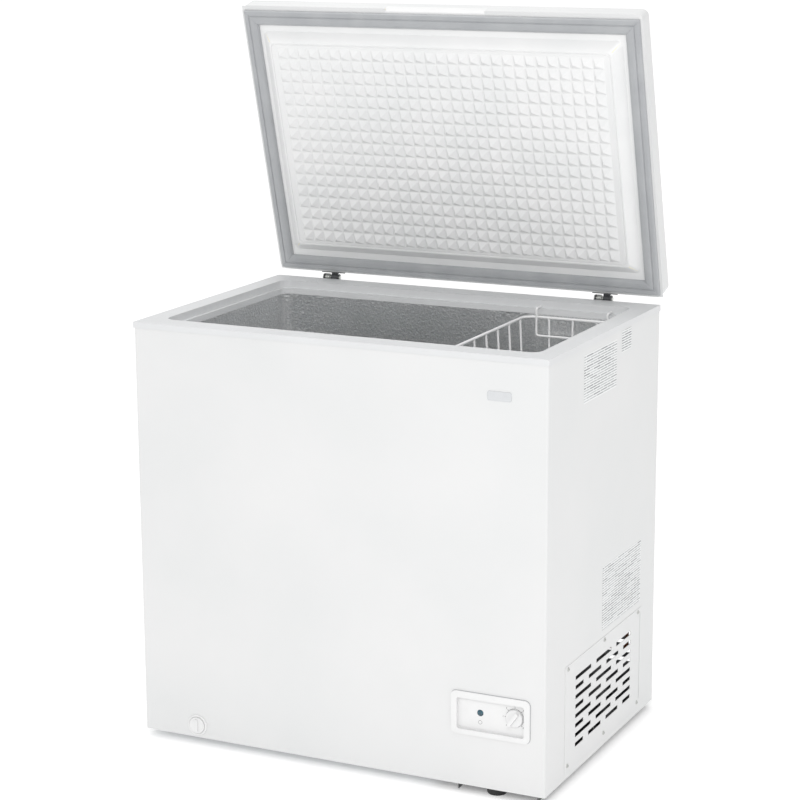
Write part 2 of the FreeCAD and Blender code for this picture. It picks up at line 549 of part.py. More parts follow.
piece("indicator_lamp", turned("indicator_lamp", [
    ("0", "panel_wall"), ("lamp_neck", "panel_wall"), ("lamp_neck", LAMP_STEP), ("lamp_cap", LAMP_STEP),
    ("lamp_cap", f"{LAMP_STEP} + lamp_cap"), ("0", f"{LAMP_STEP} + lamp_cap")], LAMP_FACE, "y"))

# Thermostat: a switch body behind the recess, its shaft, and the knob with a grip bar.
thermostat_box = block(
    "thermostat_box", (f"{KNOB_X} - thermostat_size / 2", THERMO_Y, f"{KNOB_Z} - thermostat_size / 2"),
    (f"{KNOB_X} + thermostat_size / 2", f"{THERMO_Y} + thermostat_deep",
     f"{KNOB_Z} + thermostat_size / 2"))
thermostat_bore = rod("thermostat_bore", (KNOB_X, f"{THERMO_Y} - over", KNOB_Z), "y",
                      "shaft_radius + shaft_clear", "shaft_tail + 2 * over")
piece("thermostat_body", cut("thermostat_body", thermostat_box, [thermostat_bore]))
piece("thermostat_shaft", rod("thermostat_shaft", (KNOB_X, f"{RECESS_Y} - shaft_grip", KNOB_Z), "y",
                              "shaft_radius", "shaft_grip + panel_wall + shaft_tail"))
knob_disc = turned("knob_disc", [
    ("0", "grip_tall - knob_tall"), ("knob_radius - knob_edge", "grip_tall - knob_tall"),
    ("knob_radius", "grip_tall - knob_tall + knob_edge"), ("knob_radius", "0"), ("0", "0")],
    ("0", "0", "0"), "y")
grip_bar = prism("grip_bar", ("-grip_wide / 2", "-knob_tall", "grip_short - knob_radius"),
                 ("grip_wide / 2", "-over", "knob_radius - grip_short"), "grip_corner", "y")
knob_socket = rod("knob_socket", ("0", "running_gap - shaft_grip", "0"), "y", "shaft_radius",
                  "shaft_grip + over")
knob_solid = cut("knob_solid", joined("knob_body", [knob_disc, grip_bar]), [knob_socket])
knob_turned = grouped("knob_turned", [knob_solid])
knob_turned.Placement = FreeCAD.Placement(point(KNOB_X, f"{RECESS_Y} - running_gap", KNOB_Z),
                                          FreeCAD.Rotation(FreeCAD.Vector(0, 1, 0), number("knob_turn")))
piece("thermostat_knob", knob_turned)
housing_low = (f"{recess_low[0]} - housing_margin", f"{FRONT} + sheet_metal",
               f"{recess_low[1]} - housing_margin")
housing_high = (f"{recess_high[0]} + housing_margin", f"{FRONT} + housing_deep",
                f"{recess_high[1]} + housing_margin")
housing_outside = block("housing_outside", housing_low, housing_high)
housing_inside = block(
    "housing_inside",
    (f"{housing_low[0]} + panel_wall", f"{FRONT} - over", f"{housing_low[2]} + panel_wall"),
    tuple(f"{place} - panel_wall" for place in housing_high))
bulb_exit = drill("bulb_exit", (BULB_X, BULB_Y, housing_high[2]), "z", "capillary_radius + pipe_clear",
                  "2 * panel_wall")
piece("control_housing", cut("control_housing", housing_outside, [housing_inside, bulb_exit]))

# Sensing bulb: a capillary from the thermostat up through the bay roof to the tank's step.
bulb_line = tube("bulb_line", [
    (BULB_X, BULB_Y, f"{KNOB_Z} + thermostat_size / 2"), (BULB_X, BULB_Y, BULB_Z),
    (BULB_X, f"{THERMO_Y} + bulb_long", BULB_Z)], "capillary_radius", "bulb_bend")
bulb_end = rod("bulb_end", (BULB_X, f"{THERMO_Y} + bulb_start", BULB_Z), "y", "bulb_radius", "bulb_long")
sensing_bulb = piece("sensing_bulb", joined("sensing_bulb", [bulb_line, bulb_end]))

# Condenser: one tube in long runs against the inside of the wrap's front and sides.
INSET = "(sheet_metal + condenser_tube + coil_skin)"
CONDENSER = {"west": f"{LEFT} + {INSET}", "east": f"{RIGHT} - {INSET}", "front": f"{FRONT} + {INSET}",
             "back": f"{BACK} - coil_end"}
CONDENSER_PITCH = "((box_height - condenser_low - condenser_top) / (condenser_runs - 1))"
condenser_route = []
for run in range(int(SIZES["condenser_runs"])):
    height = f"{BASE} + condenser_low + {run} * {CONDENSER_PITCH}"
    across = [(CONDENSER["east"], CONDENSER["back"], height),
              (CONDENSER["east"], CONDENSER["front"], height),
              (CONDENSER["west"], CONDENSER["front"], height),
              (CONDENSER["west"], CONDENSER["back"], height)]
    condenser_route += across if run % 2 == 0 else across[::-1]
condenser_route[0] = (CONDENSER["east"], DISCHARGE_Y, condenser_route[0][2])
condenser_route.insert(0, (CONDENSER["east"], DISCHARGE_Y, f"{BAY_ROOF} + condenser_start"))
condenser = piece("condenser_coil", tube("condenser_coil", condenser_route, "condenser_tube",
                                         "condenser_bend"))

# Evaporator: one tube wound round the outside of the tank, parallel to its corners.
coil_side, coil_front, coil_back = [
    tank_inset(rim, "liner_sheet + evaporator_tube + coil_skin")
    for rim in ("rim_side", "rim_front", "rim_back")]
EVAPORATOR_PITCH = "((box_height - evaporator_low - evaporator_top) / (evaporator_turns - 1))"
evaporator_route = []
for turn in range(int(SIZES["evaporator_turns"])):
    height = f"{BASE} + evaporator_low + {turn} * {EVAPORATOR_PITCH}"
    evaporator_route += [(f"{RIGHT} - ({coil_side})", f"{BACK} - ({coil_back})", height),
                         (f"{RIGHT} - ({coil_side})", f"{FRONT} + {coil_front}", height),
                         (f"{LEFT} + {coil_side}", f"{FRONT} + {coil_front}", height),
                         (f"{LEFT} + {coil_side}", f"{BACK} - ({coil_back})", height)]
evaporator_route[0] = (f"{RIGHT} - ({coil_side})", f"{BACK} - evaporator_start",
                       f"{BASE} + evaporator_low")
evaporator_route.append((f"{RIGHT} - evaporator_stop", f"{BACK} - ({coil_back})",
                         f"{TOP} - evaporator_top"))
evaporator = piece("evaporator_coil", tube(
    "evaporator_coil", evaporator_route, "evaporator_tube",
    "liner_corner + liner_sheet + evaporator_tube + coil_skin"))

# Foam: poured between the wrap and the tank, round the collar, the bay, the coils and the drain.
foam_block = rounded("foam_block", block(
    "foam_bulk", (f"{LEFT} + sheet_metal", f"{FRONT} + sheet_metal", PLATE),
    (f"{RIGHT} - sheet_metal", f"{BACK} - sheet_metal", f"{TOP} - collar_wall")), WRAP_BEND, folds)
foam_mouth = opening("foam_mouth", *[tank_inset(rim, "liner_sheet")
                                     for rim in ("rim_side", "rim_front", "rim_back")],
                     f"{TOP} - foam_collar", f"{TOP} + over", "liner_corner + liner_sheet")
upper_space = opening("upper_space", "rim_side - collar_wall", "rim_front - collar_wall",
                      "rim_back - collar_wall", f"{LEDGE} - collar_wall", f"{TOP} + over",
                      "opening_corner + collar_wall")
bay_space = block("bay_space", (BAY_LEFT, f"{FRONT} - over", BASE), (f"{RIGHT} + over", f"{BACK} + over",
                                                                     BAY_ROOF))
piece("foam_insulation", cut("foam_insulation", foam_block, [
    tank("foam_tank", "liner_sheet"), foam_mouth, upper_space, bay_space, drain_solid, drain_socket,
    condenser, evaporator, sensing_bulb] + all_lug_holes))

# Base tray: a folded channel under the bay, carrying the compressor and the right-hand feet.
tray_plate = block("tray_plate", (TRAY_X0, f"{FRONT} + tray_set_in", f"{BASE} - tray_sheet"),
                   (TRAY_X1, f"{BACK} - tray_set_in", BASE))
tray_sides = [block(f"tray_side_{side}", (edge, f"{FRONT} + tray_set_in", f"{BASE} - tray_hang"),
                    (f"{edge} + tray_sheet", f"{BACK} - tray_set_in", BASE))
              for side, edge in (("left", TRAY_X0), ("right", f"{TRAY_X1} - tray_sheet"))]
piece("base_tray", joined("base_tray", [tray_plate] + tray_sides))

# Feet: a stem under each corner that narrows to its sole.
foot_places = {
    "foot_front_left": (f"{LEFT} + left_foot_in", f"{FRONT} + left_foot_back", "foot_height"),
    "foot_back_left": (f"{LEFT} + left_foot_in", f"{BACK} - rear_foot_back", "foot_height"),
    "foot_front_right": (f"{RIGHT} - tray_foot_in", f"{FRONT} + foot_set_back", "foot_height - tray_sheet"),
    "foot_back_right": (f"{RIGHT} - tray_foot_in", f"{BACK} - rear_foot_back", "foot_height - tray_sheet"),
}
for label, (across, along, height) in foot_places.items():
    piece(label, turned(label, [
        ("0", "0"), ("foot_sole", "0"), ("foot_sole + foot_edge / 2", "foot_edge"),
        ("foot_radius", f"{height} - foot_edge"), ("foot_cap", height), ("0", height)],
        (across, along, "0")))

# Compressor: a domed shell with a welded seam, on four grommets bolted to the tray.
shell = turned("shell", [
    ("0", "shell_base"), ("compressor_radius - shell_foot", "shell_base"),
    ("compressor_radius - seam_half", "shell_foot_tall"),
    ("compressor_radius - seam_proud", "seam_height - seam_half - over"),
    ("compressor_radius + seam_proud", "seam_height - seam_half"),
    ("compressor_radius + seam_proud", "seam_height + seam_half"),
    ("compressor_radius - seam_proud", "seam_height + seam_half + over"),
    ("compressor_radius - 2 * seam_proud", "compressor_tall - dome_start"),
    ("compressor_radius - dome_in", "compressor_tall - dome_mid"),
    ("compressor_radius - dome_crown", "compressor_tall - dome_top"), ("0", "compressor_tall")],
    (COMP_X, COMP_Y, SEAT))
mounts = [(f"{COMP_X} + {east} * mount_across / 2", f"{COMP_Y} + {north} * mount_along / 2")
          for east in (-1, 1) for north in (-1, 1)]
legs = block("legs",
             (f"{COMP_X} - mount_across / 2 - leg_margin", f"{COMP_Y} - mount_along / 2 - leg_margin", SEAT),
             (f"{COMP_X} + mount_across / 2 + leg_margin", f"{COMP_Y} + mount_along / 2 + leg_margin",
              f"{SEAT} + leg_sheet"))
leg_post = rod("leg_post", (COMP_X, COMP_Y, f"{SEAT} + leg_sheet / 2"), "z",
               "compressor_radius - leg_post", "shell_base")
leg_holes = [drill(f"leg_hole_{index}", (across, along, SEAT), "z", "bolt_radius", "leg_sheet + over")
             for index, (across, along) in enumerate(mounts)]
compressor = piece("compressor", cut("compressor", joined("compressor_body", [shell, legs, leg_post]),
                                     leg_holes))
piece("compressor_grommets", grouped("compressor_grommets", [
    turned(f"grommet_{index}", [
        ("bolt_radius", "0"), ("grommet_radius", "0"), ("grommet_radius", "groove_up - groove_half"),
        ("grommet_waist", "groove_up"), ("grommet_radius", "groove_up + groove_half"),
        ("grommet_radius", "grommet_tall"), ("bolt_radius", "grommet_tall")], (across, along, BASE))
    for index, (across, along) in enumerate(mounts)]))
piece("compressor_bolts", grouped("compressor_bolts", [
    turned(f"bolt_{index}", [
        ("0", "0"), ("bolt_radius", "0"), ("bolt_radius", "grommet_tall + leg_sheet"),
        ("bolt_head", "grommet_tall + leg_sheet"),
        ("bolt_head", "grommet_tall + leg_sheet + bolt_head_tall"),
        ("0", "grommet_tall + leg_sheet + bolt_head_tall")], (across, along, BASE))
    for index, (across, along) in enumerate(mounts)]))
RELAY_Y = f"({COMP_Y} - compressor_radius)"
terminal_outside = prism(
    "terminal_outside",
    (f"{COMP_X} - terminal_wide / 2", f"{RELAY_Y} - terminal_deep", f"{SEAT} + terminal_low"),
    (f"{COMP_X} + terminal_wide / 2", f"{RELAY_Y} + over", f"{SEAT} + terminal_high"),
    "terminal_corner", "y")
terminal_inside = block(
    "terminal_inside",
    (f"{COMP_X} - terminal_wide / 2 + terminal_wall", f"{RELAY_Y} - terminal_deep + terminal_wall",
     f"{SEAT} + terminal_low + terminal_wall"),
    (f"{COMP_X} + terminal_wide / 2 - terminal_wall", f"{RELAY_Y} + 2 * over",
     f"{SEAT} + terminal_high - terminal_wall"))
piece("terminal_cover", cut("terminal_cover", terminal_outside, [terminal_inside, compressor]))
piece("starting_relay", block(
    "starting_relay",
    (f"{COMP_X} - relay_wide / 2", f"{RELAY_Y} - relay_gap - relay_deep", f"{SEAT} + relay_low"),
    (f"{COMP_X} + relay_wide / 2", f"{RELAY_Y} - relay_gap", f"{SEAT} + relay_high")))

# Pipework: discharge to the condenser, drier and capillary, suction from the evaporator.
discharge_run = tube("discharge_run", [
    (f"{COMP_X} + discharge_side", f"{COMP_Y} + compressor_radius - pipe_root", CROWN),
    (f"{COMP_X} + discharge_side", DISCHARGE_Y, CROWN), (PIPE_X, DISCHARGE_Y, CROWN),
    (PIPE_X, DISCHARGE_Y, f"{BAY_ROOF} - pipe_stop")], "pipe_radius", "pipe_bend")
piece("discharge_tube", cut("discharge_tube", discharge_run, [compressor]))
suction_run = tube("suction_run", [
    (f"{COMP_X} - suction_side", f"{COMP_Y} + compressor_radius - pipe_root", CROWN),
    (f"{COMP_X} - suction_side", SUCTION_Y, CROWN), (SUCTION_X, SUCTION_Y, f"{CROWN} + suction_rise"),
    (SUCTION_X, SUCTION_Y, f"{BAY_ROOF} - pipe_stop")], "evaporator_tube", "pipe_bend")
piece("suction_tube", cut("suction_tube", suction_run, [compressor]))
DRIER_TOP = "(drier_long + drier_tail)"
piece("filter_drier", turned("filter_drier", [
    ("0", "-drier_taper"), ("drier_neck", "-drier_taper"), ("drier_neck", "0"),
    ("drier_radius", "drier_taper"), ("drier_radius", "drier_long - drier_taper"),
    ("drier_neck", "drier_long"), ("drier_neck", DRIER_TOP), ("0", DRIER_TOP)],
    (DRIER_X, DRIER_Y, f"{BASE} + drier_low")))
piece("capillary_tube", tube("capillary_tube", [
    (DRIER_X, DRIER_Y, f"{BASE} + drier_low + {DRIER_TOP}"), (DRIER_X, DRIER_Y, CAPILLARY_Z),
    (DRIER_X, CAPILLARY_Y, CAPILLARY_Z), (CAPILLARY_X, CAPILLARY_Y, CAPILLARY_Z),
    (CAPILLARY_X, CAPILLARY_Y, f"{BAY_ROOF} - pipe_stop")], "capillary_radius", "capillary_bend"))

# Side grille: a cover plate with rows of slots, odd rows of long slots and even rows staggered,
# and a pressed ridge near its rear edge.
grille_plate = prism("grille_plate", (RIGHT, f"{FRONT} + grille_front", f"{BASE} + grille_low"),
                     (f"{RIGHT} + grille_proud", f"{FRONT} + grille_back", f"{BASE} + grille_high"),
                     "grille_corner", "x")
RIDGE_Y = f"({FRONT} + grille_back - ridge_in)"
grille_ridge = block(
    "grille_ridge", (RIGHT, f"{RIDGE_Y} - ridge_wide", f"{BASE} + screw_low + screw_radius"),
    (f"{RIGHT} + grille_proud + ridge_proud", RIDGE_Y, f"{BASE} + screw_high - screw_radius"))
SLOTS = "(slot_back - slot_front)"
LONG_SLOT = f"(({SLOTS} - 2 * slot_gap) / 3)"
MID_SLOT = f"(({SLOTS} - 2 * half_slot - 3 * slot_gap) / 2)"
slot_cuts = []
for line in range(int(SIZES["slot_rows"])):
    low = f"{BASE} + slot_low + {line} * slot_pitch"
    lengths = [LONG_SLOT] * 3 if line % 2 else ["half_slot", MID_SLOT, MID_SLOT, "half_slot"]
    start = f"{FRONT} + slot_front"
    for index, length in enumerate(lengths):
        slot_cuts.append(block(f"slot_{line}_{index}", (f"{RIGHT} - over", start, low),
                               (f"{RIGHT} + grille_proud + over", f"{start} + {length}",
                                f"{low} + slot_tall")))
        start = f"{start} + {length} + slot_gap"
piece("grille_cover", cut("grille_cover", joined("grille_body", [grille_plate, grille_ridge]),
                          slot_cuts + grille_holes))
piece("grille_screws", grouped("grille_screws", [
    screw(f"grille_screw_{index}", place, "x") for index, place in enumerate(grille_places)]))

# Rear bay cover: a flat vented plate with its screws and the gland that the mains lead leaves by.
rear_plate = block("rear_plate", (f"{BAY_LEFT} + cover_side", BACK, f"{BASE} + cover_low"),
                   (f"{RIGHT} - cover_side", f"{BACK} + cover_sheet", f"{BAY_ROOF} - cover_high"))
rear_slots = []
for line in range(int(SIZES["slot_rows"]) - 1):
    low = f"{BASE} + cover_slot_low + {line} * slot_pitch"
    rear_slots.append(block(f"rear_slot_{line}", (f"{BAY_LEFT} + cover_slot_in", f"{BACK} - over", low),
                            (f"{RIGHT} - cover_slot_in", f"{BACK} + cover_sheet + over",
                             f"{low} + slot_tall")))
GLAND = (f"{RIGHT} - gland_in", f"{BACK} + cover_sheet", f"{BASE} + gland_up")
gland_hole = drill("gland_hole", GLAND, "y", "gland_neck", "cover_sheet + over")
piece("rear_cover", cut("rear_cover", rear_plate, rear_slots + cover_holes + [gland_hole]))
piece("rear_cover_screws", grouped("rear_cover_screws", [
    screw(f"rear_screw_{index}", place, "y") for index, place in enumerate(cover_places)]))
piece("cord_gland", turned("cord_gland", [
    ("gland_bore", "-gland_tail"), ("gland_flange", "-gland_tail"),
    ("gland_flange", "-cover_sheet - sheet_metal"), ("gland_neck", "-cover_sheet"), ("gland_neck", "0"),
    ("gland_rim", "0"), ("gland_flange", "gland_nose / 3"), ("gland_tip", "gland_nose"),
    ("gland_bore", "gland_nose")], GLAND, "y"))

# Hinges: a bracket with two cheeks on the cabinet's rear, a pin, a leaf on the lid, and a coil spring
# whose turns are bent a sixth at a time.
SPRING_SIDES = 6
hinge_pins = []
hinge_springs = []
hinge_screws = []
leaf_screws = []
leaf_holes = []
for hand, across in HINGES.items():
    flange = f"{BRACKET_Y} + cheek_sheet"
    plate = block(f"plate_{hand}",
                  (f"{across} - cheek_gap - cheek_sheet", BRACKET_Y, f"{TOP} - bracket_drop"),
                  (f"{across} + cheek_gap + cheek_sheet", flange, f"{TOP} - bracket_top"))
    ears = block(f"ears_{hand}",
                 (f"{across} - cheek_gap - cheek_sheet - ear_width", BRACKET_Y, f"{TOP} - bracket_drop"),
                 (f"{across} + cheek_gap + cheek_sheet + ear_width", flange,
                  f"{TOP} - bracket_drop + ear_tall"))
    cheeks = []
    for side, edge in (("near", f"{across} - cheek_gap - cheek_sheet"), ("far", f"{across} + cheek_gap")):
        cheeks.append(block(f"cheek_{hand}_{side}",
                            (edge, BRACKET_Y, f"{TOP} - bracket_drop + cheek_foot"),
                            (f"{edge} + cheek_sheet", f"{PIVOT_Y} + cheek_radius",
                             f"{PIVOT_Z} - cheek_radius")))
        cheeks.append(block(f"neck_{hand}_{side}",
                            (edge, f"{PIVOT_Y} - cheek_radius", f"{PIVOT_Z} - 2 * cheek_radius"),
                            (f"{edge} + cheek_sheet", f"{PIVOT_Y} + cheek_radius", PIVOT_Z)))
        cheeks.append(rod(f"eye_{hand}_{side}", (edge, PIVOT_Y, PIVOT_Z), "x", "cheek_radius",
                          "cheek_sheet"))
    hinge_line = (across, PIVOT_Y, PIVOT_Z)
    pin_hole = drill(f"pin_hole_{hand}", hinge_line, "x", "pin_radius", "2 * cheek_gap")
    piece(f"hinge_bracket_{hand}", cut(f"hinge_bracket_{hand}",
                                       joined(f"bracket_{hand}", [plate, ears] + cheeks),
                                       [pin_hole] + lug_holes[hand]))
    pin_end = "(cheek_gap + cheek_sheet)"
    hinge_pins.append(turned(f"hinge_pin_{hand}", [
        ("0", f"-{pin_end} - pin_head"), ("knuckle_radius", f"-{pin_end} - pin_head"),
        ("knuckle_radius", f"-{pin_end}"), ("pin_radius", f"-{pin_end}"),
        ("pin_radius", f"{pin_end} + pin_head"), ("0", f"{pin_end} + pin_head")], hinge_line, "x"))
    hinge_screws += [screw(f"hinge_screw_{hand}_{index}", lug, "y")
                     for index, lug in enumerate(lug_places[hand])]
    leaf_y = f"{BACK} + lid_proud"
    knuckle_x = f"{across} - knuckle_width / 2 + spring_room"
    leaf_plate = block(f"leaf_plate_{hand}", (f"{across} - leaf_width / 2", leaf_y, f"{RIM} + leaf_gap"),
                       (f"{across} + leaf_width / 2", f"{leaf_y} + leaf_sheet", f"{RIM} + leaf_tall"))
    leaf_neck = block(f"leaf_neck_{hand}", (knuckle_x, leaf_y, f"{TOP} + over"),
                      (f"{across} + knuckle_width / 2", f"{leaf_y} + leaf_sheet", f"{RIM} + 2 * leaf_gap"))
    leaf_arm = block(f"leaf_arm_{hand}", (knuckle_x, leaf_y, f"{TOP} + over"),
                     (f"{across} + knuckle_width / 2", PIVOT_Y, f"{TOP} + over + leaf_arm"))
    knuckle = rod(f"knuckle_{hand}", (knuckle_x, PIVOT_Y, PIVOT_Z), "x", "knuckle_radius",
                  "knuckle_width - spring_room")
    knuckle_bore = drill(f"knuckle_bore_{hand}", hinge_line, "x", "pin_radius + pin_clear", "knuckle_width")
    places = [(f"{across} + {flank} * leaf_screw_apart / 2", f"{leaf_y} + leaf_sheet",
               f"{RIM} + leaf_tall - leaf_screw_down") for flank in (-1, 1)]
    holes = [drill(f"leaf_hole_{hand}_{index}", place, "y", "screw_shank", "screw_long + 2 * over")
             for index, place in enumerate(places)]
    leaf_holes += holes
    leaf_screws += [screw(f"leaf_screw_{hand}_{index}", place, "y") for index, place in enumerate(places)]
    lid_piece(f"hinge_leaf_{hand}", cut(
        f"leaf_solid_{hand}", joined(f"leaf_parts_{hand}", [leaf_plate, leaf_neck, leaf_arm, knuckle]),
        [knuckle_bore] + holes))
    hinge_springs.append(tube(f"hinge_spring_{hand}", [
        (f"{across} - knuckle_width / 2 + spring_wire + spring_pitch * {step} / {SPRING_SIDES}",
         f"{PIVOT_Y} + spring_corner * cos({360 * step / SPRING_SIDES})",
         f"{PIVOT_Z} + spring_corner * sin({360 * step / SPRING_SIDES})")
        for step in range(int(SIZES["spring_turns"]) * SPRING_SIDES + 1)], "spring_wire", "spring_bend"))
piece("hinge_pins", grouped("hinge_pins", hinge_pins))
piece("hinge_springs", grouped("hinge_springs", hinge_springs))
piece("hinge_screws", grouped("hinge_screws", hinge_screws))
lid_piece("leaf_screws", grouped("leaf_screw_group", leaf_screws))

# Lid, modelled shut: a painted pan, its foam, a vacuum-formed liner with a raised plug, the gasket.


def pan(name, inset, low):
    """The lid's outline, inset on its sides and top, with rounded corners and top edge."""
    upright = prism(f"{name}_upright", (f"{LID_LEFT} + {inset}", f"{LID_FRONT} + {inset}", low),
                    (f"{LID_RIGHT} - {inset}", f"{LID_BACK} - {inset}", f"{LID_TOP} - {inset}"),
                    f"lid_corner - {inset}")
    top = number(f"{LID_TOP} - {inset}")
    return rounded(name, upright, f"lid_edge - {inset}", lambda edge: edge.BoundBox.ZMin > top - SNAP)


def lid_ring(name, inset, front, breadth, low, high):
    """A flat frame inset from the lid's edge, by its own distance at the front."""
    outside = block(f"{name}_outside", (f"{LID_LEFT} + {inset}", f"{LID_FRONT} + {front}", low),
                    (f"{LID_RIGHT} - {inset}", f"{LID_BACK} - {inset}", high))
    inner = f"({inset} + {breadth})"
    inside = block(f"{name}_inside",
                   (f"{LID_LEFT} + {inner}", f"{LID_FRONT} + {front} + {breadth}", f"{low} - over"),
                   (f"{LID_RIGHT} - {inner}", f"{LID_BACK} - {inner}", f"{high} + over"))
    return cut(f"{name}_frame", outside, [inside])


def plug(name, base):
    """The raised panel of the lid's liner, tapering downwards from a base height."""
    wedge = doc.addObject("Part::Wedge", name)
    wedge.Placement = FreeCAD.Placement(FreeCAD.Vector(), FreeCAD.Rotation(FreeCAD.Vector(1, 0, 0), -90))
    wide = "(width + 2 * lid_proud - 2 * plug_lip)"
    long = "(depth + 2 * lid_proud - plug_lip_front - plug_lip_back)"
    formulas = {
        "Xmin": "0", "Ymin": "0", "Zmin": "0", "X2min": "plug_drop", "Z2min": "plug_drop",
        "Xmax": wide, "Ymax": "plug_drop", "Zmax": long,
        "X2max": f"{wide} - plug_drop", "Z2max": f"{long} - plug_drop",
        "Placement.Base.x": f"{LID_LEFT} + plug_lip", "Placement.Base.y": f"{LID_FRONT} + plug_lip_front",
        "Placement.Base.z": base}
    for prop, formula in formulas.items():
        wedge.setExpression(prop, linked(formula))
    return wedge


handle_high = ("handle_width / 2", f"{LID_FRONT} + lid_lip", f"{RIM} + handle_tall")
handle_space = block("handle_space", ("-handle_width / 2", f"{LID_FRONT} - over", f"{RIM} - over"),
                     handle_high)
lid_walls = cut("lid_walls", pan("lid_outside", "0", RIM),
                [pan("lid_inside", "sheet_metal", f"{RIM} - over")])
lip = lid_ring("lip", "sheet_metal", "sheet_metal", "(lid_lip - sheet_metal)", RIM,
               f"{RIM} + sheet_metal")
lid_piece("lid_shell", cut("lid_sheet", joined("lid_folded", [lid_walls, lip]),
                           [handle_space] + leaf_holes))
liner_plate = block("liner_plate", (f"{LID_LEFT} + lid_lip", f"{LID_FRONT} + lid_lip", RIM),
                    (f"{LID_RIGHT} - lid_lip", f"{LID_BACK} - lid_lip", f"{RIM} + lid_liner_sheet"))
lid_piece("lid_liner", cut("liner_formed", joined("liner_blank", [liner_plate, plug("plug_outside", RIM)]),
                           [plug("plug_inside", f"{RIM} + lid_liner_sheet")]))
lid_piece("lid_foam", cut("foam_poured", joined("foam_fill", [
    pan("lid_fill", "sheet_metal", f"{RIM} + lid_liner_sheet"),
    plug("plug_fill", f"{RIM} + lid_liner_sheet")]), [handle_space] + leaf_holes))
lid_piece("lid_gasket", lid_ring("gasket", "gasket_in", "gasket_front", "gasket_width",
                                 f"{TOP} + gasket_clear", RIM))
handle_bar = block("handle_bar", ("-handle_width / 2", LID_FRONT, RIM), handle_high)
doc.recompute()
handle_edge = doc.addObject("Part::Chamfer", "handle_edge")
handle_edge.Base = handle_bar
handle_size = number("handle_chamfer")
handle_edge.Edges = [(index, handle_size, handle_size)
                     for index, edge in enumerate(handle_bar.Shape.Edges, 1)
                     if parallel("x")(edge) and edge.CenterOfMass.y < number(LID_FRONT) + 1
                     and edge.CenterOfMass.z < number(RIM) + 1]
lid_piece("lid_handle", handle_edge)

# Basket: a coated wire basket at the right-hand end, hung from the collar's ledge by two hooks.
BASKET_X1 = f"({RIGHT} - rim_side - ledge_width - basket_side_gap)"
BASKET_X0 = f"({BASKET_X1} - basket_width)"
BASKET_Y0 = f"({FRONT} + rim_front + ledge_width + basket_end_gap)"
BASKET_Y1 = f"({BACK} - rim_back - ledge_width - basket_end_gap)"
BASKET_TOP = f"({TOP} - basket_sink)"
BASKET_FLOOR = f"({BASKET_TOP} - basket_deep)"
FLOOR_TOP = f"({BASKET_FLOOR} + 2 * wire_radius - floor_sink)"
HANG = f"({BASKET_TOP} - rim_wire + weld_sink)"
HOOK_Z = f"({LEDGE} + wire_radius + running_gap)"
FOOT = {"left": f"({BASKET_X0} + basket_taper)", "right": f"({BASKET_X1} - basket_taper)",
        "front": f"({BASKET_Y0} + basket_taper)", "back": f"({BASKET_Y1} - basket_taper)"}


def wires(name, runs):
    """Straight round wires welded into one piece, each run from one corner of formulas to another."""
    bars = []
    for start, end in runs:
        first = point(*start)
        reach = point(*end) - first
        bars.append(Part.makeCylinder(number("wire_radius"), reach.Length, first, reach))
    welded = doc.addObject("Part::Feature", name)
    welded.Shape = bars[0].multiFuse(bars[1:])
    return welded


def spaced(low, high, taper, share):
    """A place along the rim and the one below it on the narrower floor, at a share of the length."""
    return (f"({low} + ({high} - {low}) * {share})",
            f"({low} + {taper} + ({high} - {low} - 2 * {taper}) * {share})")


middle = (f"({BASKET_X0} + {BASKET_X1}) / 2", BASKET_Y0, BASKET_TOP)
piece("basket_rim", tube("basket_rim", [
    middle, (BASKET_X1, BASKET_Y0, BASKET_TOP), (BASKET_X1, BASKET_Y1, BASKET_TOP),
    (BASKET_X0, BASKET_Y1, BASKET_TOP), (BASKET_X0, BASKET_Y0, BASKET_TOP), middle],
    "rim_wire", "basket_corner"))
side_count = int(SIZES["side_wires"])
end_count = int(SIZES["end_wires"])
alongs = [spaced(BASKET_Y0, BASKET_Y1, "basket_taper", f"{2 * index + 1} / {2 * side_count}")
          for index in range(side_count)]
acrosses = [spaced(BASKET_X0, BASKET_X1, "basket_taper", f"{index + 1} / {end_count + 1}")
            for index in range(end_count)]
sides = []
for name, rim_x in (("left", BASKET_X0), ("right", BASKET_X1)):
    runs = [((rim_x, high, HANG), (FOOT[name], low, f"{FLOOR_TOP} - over")) for high, low in alongs]
    runs.append(((FOOT[name], f"{FOOT['front']} + wire_inset", FLOOR_TOP),
                 (FOOT[name], f"{FOOT['back']} - wire_inset", FLOOR_TOP)))
    sides.append(wires(f"uprights_{name}", runs))
piece("basket_side_wires", grouped("basket_side_wires", sides))
ends = []
for name, rim_y in (("front", BASKET_Y0), ("back", BASKET_Y1)):
    runs = [((high, rim_y, HANG), (low, FOOT[name], f"{FLOOR_TOP} - over")) for high, low in acrosses]
    runs.append(((f"{FOOT['left']} - wire_end", FOOT[name], FLOOR_TOP),
                 (f"{FOOT['right']} + wire_end", FOOT[name], FLOOR_TOP)))
    ends.append(wires(f"uprights_{name}", runs))
piece("basket_end_wires", grouped("basket_end_wires", ends))
floor_runs = [((f"{FOOT['left']} - wire_end", low, BASKET_FLOOR),
               (f"{FOOT['right']} + wire_end", low, BASKET_FLOOR)) for high, low in alongs]
floor_runs += [((low, f"{FOOT['front']} + wire_inset", FLOOR_TOP),
                (low, f"{FOOT['back']} - wire_inset", FLOOR_TOP)) for high, low in acrosses]
piece("basket_floor_wires", wires("basket_floor_wires", floor_runs))
